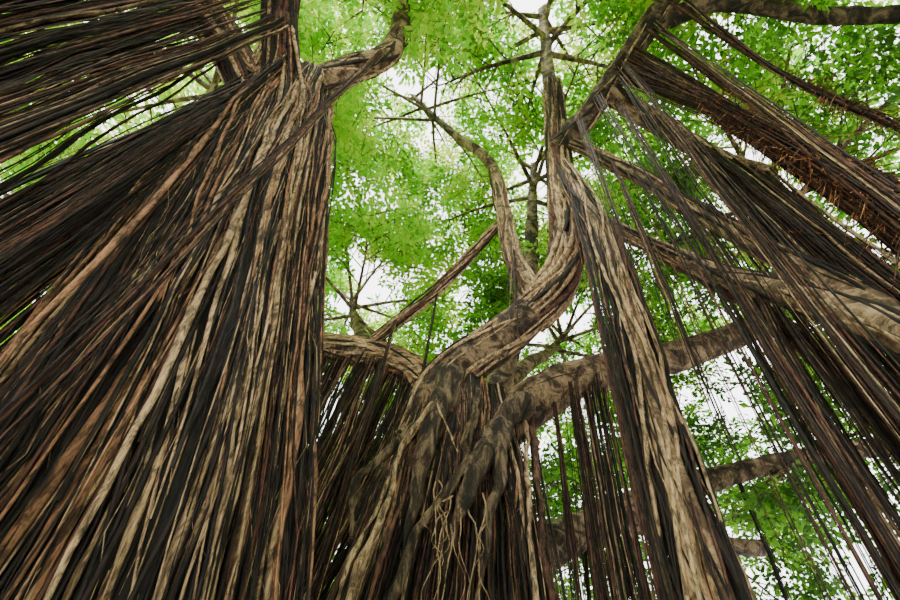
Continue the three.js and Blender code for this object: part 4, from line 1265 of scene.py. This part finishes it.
class BANYAN_OT_foliage(bpy.types.Operator):
    """Grows the twigs and leaf sprays of each mass by the source's rule"""
    bl_idname = "banyan.foliage"
    bl_label = "Grow Foliage"

    def execute(self, context):
        sizes = context.scene.banyan_crown
        tints = [("Bright", sizes.bright), ("Fresh", sizes.fresh), ("Mid", sizes.mid), ("Deep", sizes.deep)]
        leaf_looks = [ready(name + " Leaf", leaf_finish, tuple(c), shade(c, GLOW)) for name, c in tints]
        twig_look = ready("Twig", twig_finish, tuple(sizes.twig))
        sprays = [kept_away(spray_mesh(v, sizes)) for v in range(LEAF_TINTS)]
        twigs = [kept_away(twig_mesh())] * LEAF_TINTS
        for name, space in SPACES.items():
            limbs, places, headings = mass_growth(name, sizes)
            seed, number = space["seed"], np.arange(len(places))
            # Painted light and shade: the rim's sprays are dealt darker tints and the upper rings' brighter
            # ones, and the sprays darken towards +X.
            pick = (0.55 * chance(seed, number // CLUSTER) + 0.45 * chance(seed + 3, number)
                    + SHADE_BY_METRE * space["middle"][0])
            tint = np.digitize(pick, LIGHT[name.split("_")[0]])
            for piece, meshes, looks, slot, nodes in (
                    (f"foliage_{name}", sprays, leaf_looks, "leaf", ["leaves_" + name]),
                    (f"spray_twigs_{name}", twigs, [twig_look] * LEAF_TINTS, "bark", [])):
                source = loose_mesh(places, (), {"heading": ("FLOAT_VECTOR", "vector", headings),
                                                 "tint": ("INT", "value", tint)})
                inputs = {"Size": 1.0, "Seed": int(seed)}
                for k in range(LEAF_TINTS):
                    inputs.update({f"Spray {k}": meshes[k], f"Finish {k}": looks[k]})
                seated(grown(source, "Sprays", inputs, piece), slot, *nodes)
            strands_piece(f"twigs_{name}", limbs, ["Fig Bark"], "bark", "twigs")
        return {"FINISHED"}


# The camera stands under the crown and looks steeply up at the fork.
EYE = (-0.32, -5.5, 1.5)
LENS_MM = 20.0
UP_IN_VIEW = (60.0, 375.0, -500.0)  # the world's up in the camera's axes, from where the plumb roots meet


def view_matrix():
    """The camera's turn, worked out from the world's up in its own axes, with its heading along +Y."""
    up = Vector(UP_IN_VIEW).normalized()
    ahead = Vector((0, 0, -1))
    ahead = (ahead - up * ahead.dot(up)).normalized()
    right = ahead.cross(up)
    return Matrix((right, ahead, up)).to_4x4()


FLOOR_REACH, FLOOR_LEVEL = 60, -0.01
# The sky lights the tree softly and looks bright white to the camera. The sun is high, wide and soft.
SKY_LIT, SKY_SEEN = 0.35, 6.0
SUN_STRENGTH, SUN_WIDTH, SUN_TILT = 18.0, math.radians(35), (math.radians(24), math.radians(-18), 0)


class BANYAN_OT_stage(bpy.types.Operator):
    """Sets the pale floor, the soft light and the camera"""
    bl_idname = "banyan.stage"
    bl_label = "Set Stage"

    def execute(self, context):
        scene = context.scene
        corners = [(x, y, FLOOR_LEVEL) for x, y in ((-FLOOR_REACH, -FLOOR_REACH), (FLOOR_REACH, -FLOOR_REACH),
                                                    (FLOOR_REACH, FLOOR_REACH), (-FLOOR_REACH, FLOOR_REACH))]
        floor = linked("floor", face_mesh("floor", corners, [(0, 1, 2, 3)]))
        floor.data.materials.append(ready("Pale Floor", plain_finish, (0.72, 0.71, 0.68)))
        scene.world = bpy.data.worlds.new("Soft Sky")
        scene.world.use_nodes = True
        sky = Nodes(scene.world.node_tree)
        lit, seen = (sky.node("ShaderNodeBackground", {}, {"Color": (1, 1, 1, 1), "Strength": strength})
                     for strength in (SKY_LIT, SKY_SEEN))
        by_camera = sky.node("ShaderNodeLightPath", out="Is Camera Ray")
        both = sky.node("ShaderNodeMixShader", {}, {0: by_camera, 1: lit, 2: seen})
        sky.node("ShaderNodeOutputWorld", {}, {"Surface": both})
        sun = linked("sun", bpy.data.lights.new("sun", "SUN"))
        sun.data.energy, sun.data.angle, sun.rotation_euler = SUN_STRENGTH, SUN_WIDTH, SUN_TILT
        camera = linked("camera", bpy.data.cameras.new("camera"))
        camera.data.lens, camera.data.sensor_width = LENS_MM, 36
        camera.matrix_world = Matrix.Translation(EYE) @ view_matrix()
        scene.camera = camera
        return {"FINISHED"}


class BANYAN_PT_panel(bpy.types.Panel):
    """Lists the steps that grow the tree"""
    bl_label = "Banyan Fig"
    bl_idname = "BANYAN_PT_panel"
    bl_space_type = "VIEW_3D"
    bl_region_type = "UI"
    bl_category = "Banyan"

    def draw(self, context):
        for step in STEPS:
            self.layout.operator(step.bl_idname)
        for group in (context.scene.banyan_crown, context.scene.banyan_bark, context.scene.banyan_roots):
            for key in group.__annotations__:
                self.layout.prop(group, key)


STEPS = (BANYAN_OT_stage, BANYAN_OT_stems, BANYAN_OT_boughs, BANYAN_OT_hanging_roots, BANYAN_OT_foliage)
GROUPS = (CrownSizes, BarkSizes, RootSizes)


def register():
    for each in (*GROUPS, *STEPS, BANYAN_PT_panel):
        bpy.utils.register_class(each)
    bpy.types.Scene.banyan_crown = PointerProperty(type=CrownSizes)
    bpy.types.Scene.banyan_bark = PointerProperty(type=BarkSizes)
    bpy.types.Scene.banyan_roots = PointerProperty(type=RootSizes)


def unregister():
    for key in ("banyan_crown", "banyan_bark", "banyan_roots"):
        delattr(bpy.types.Scene, key)
    for each in reversed((*GROUPS, *STEPS, BANYAN_PT_panel)):
        bpy.utils.unregister_class(each)


def main():
    register()
    bpy.ops.banyan.stage()
    bpy.ops.banyan.stems()
    bpy.ops.banyan.boughs()
    bpy.ops.banyan.hanging_roots()
    bpy.ops.banyan.foliage()
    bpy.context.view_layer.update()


if __name__ == "__main__":
    main()
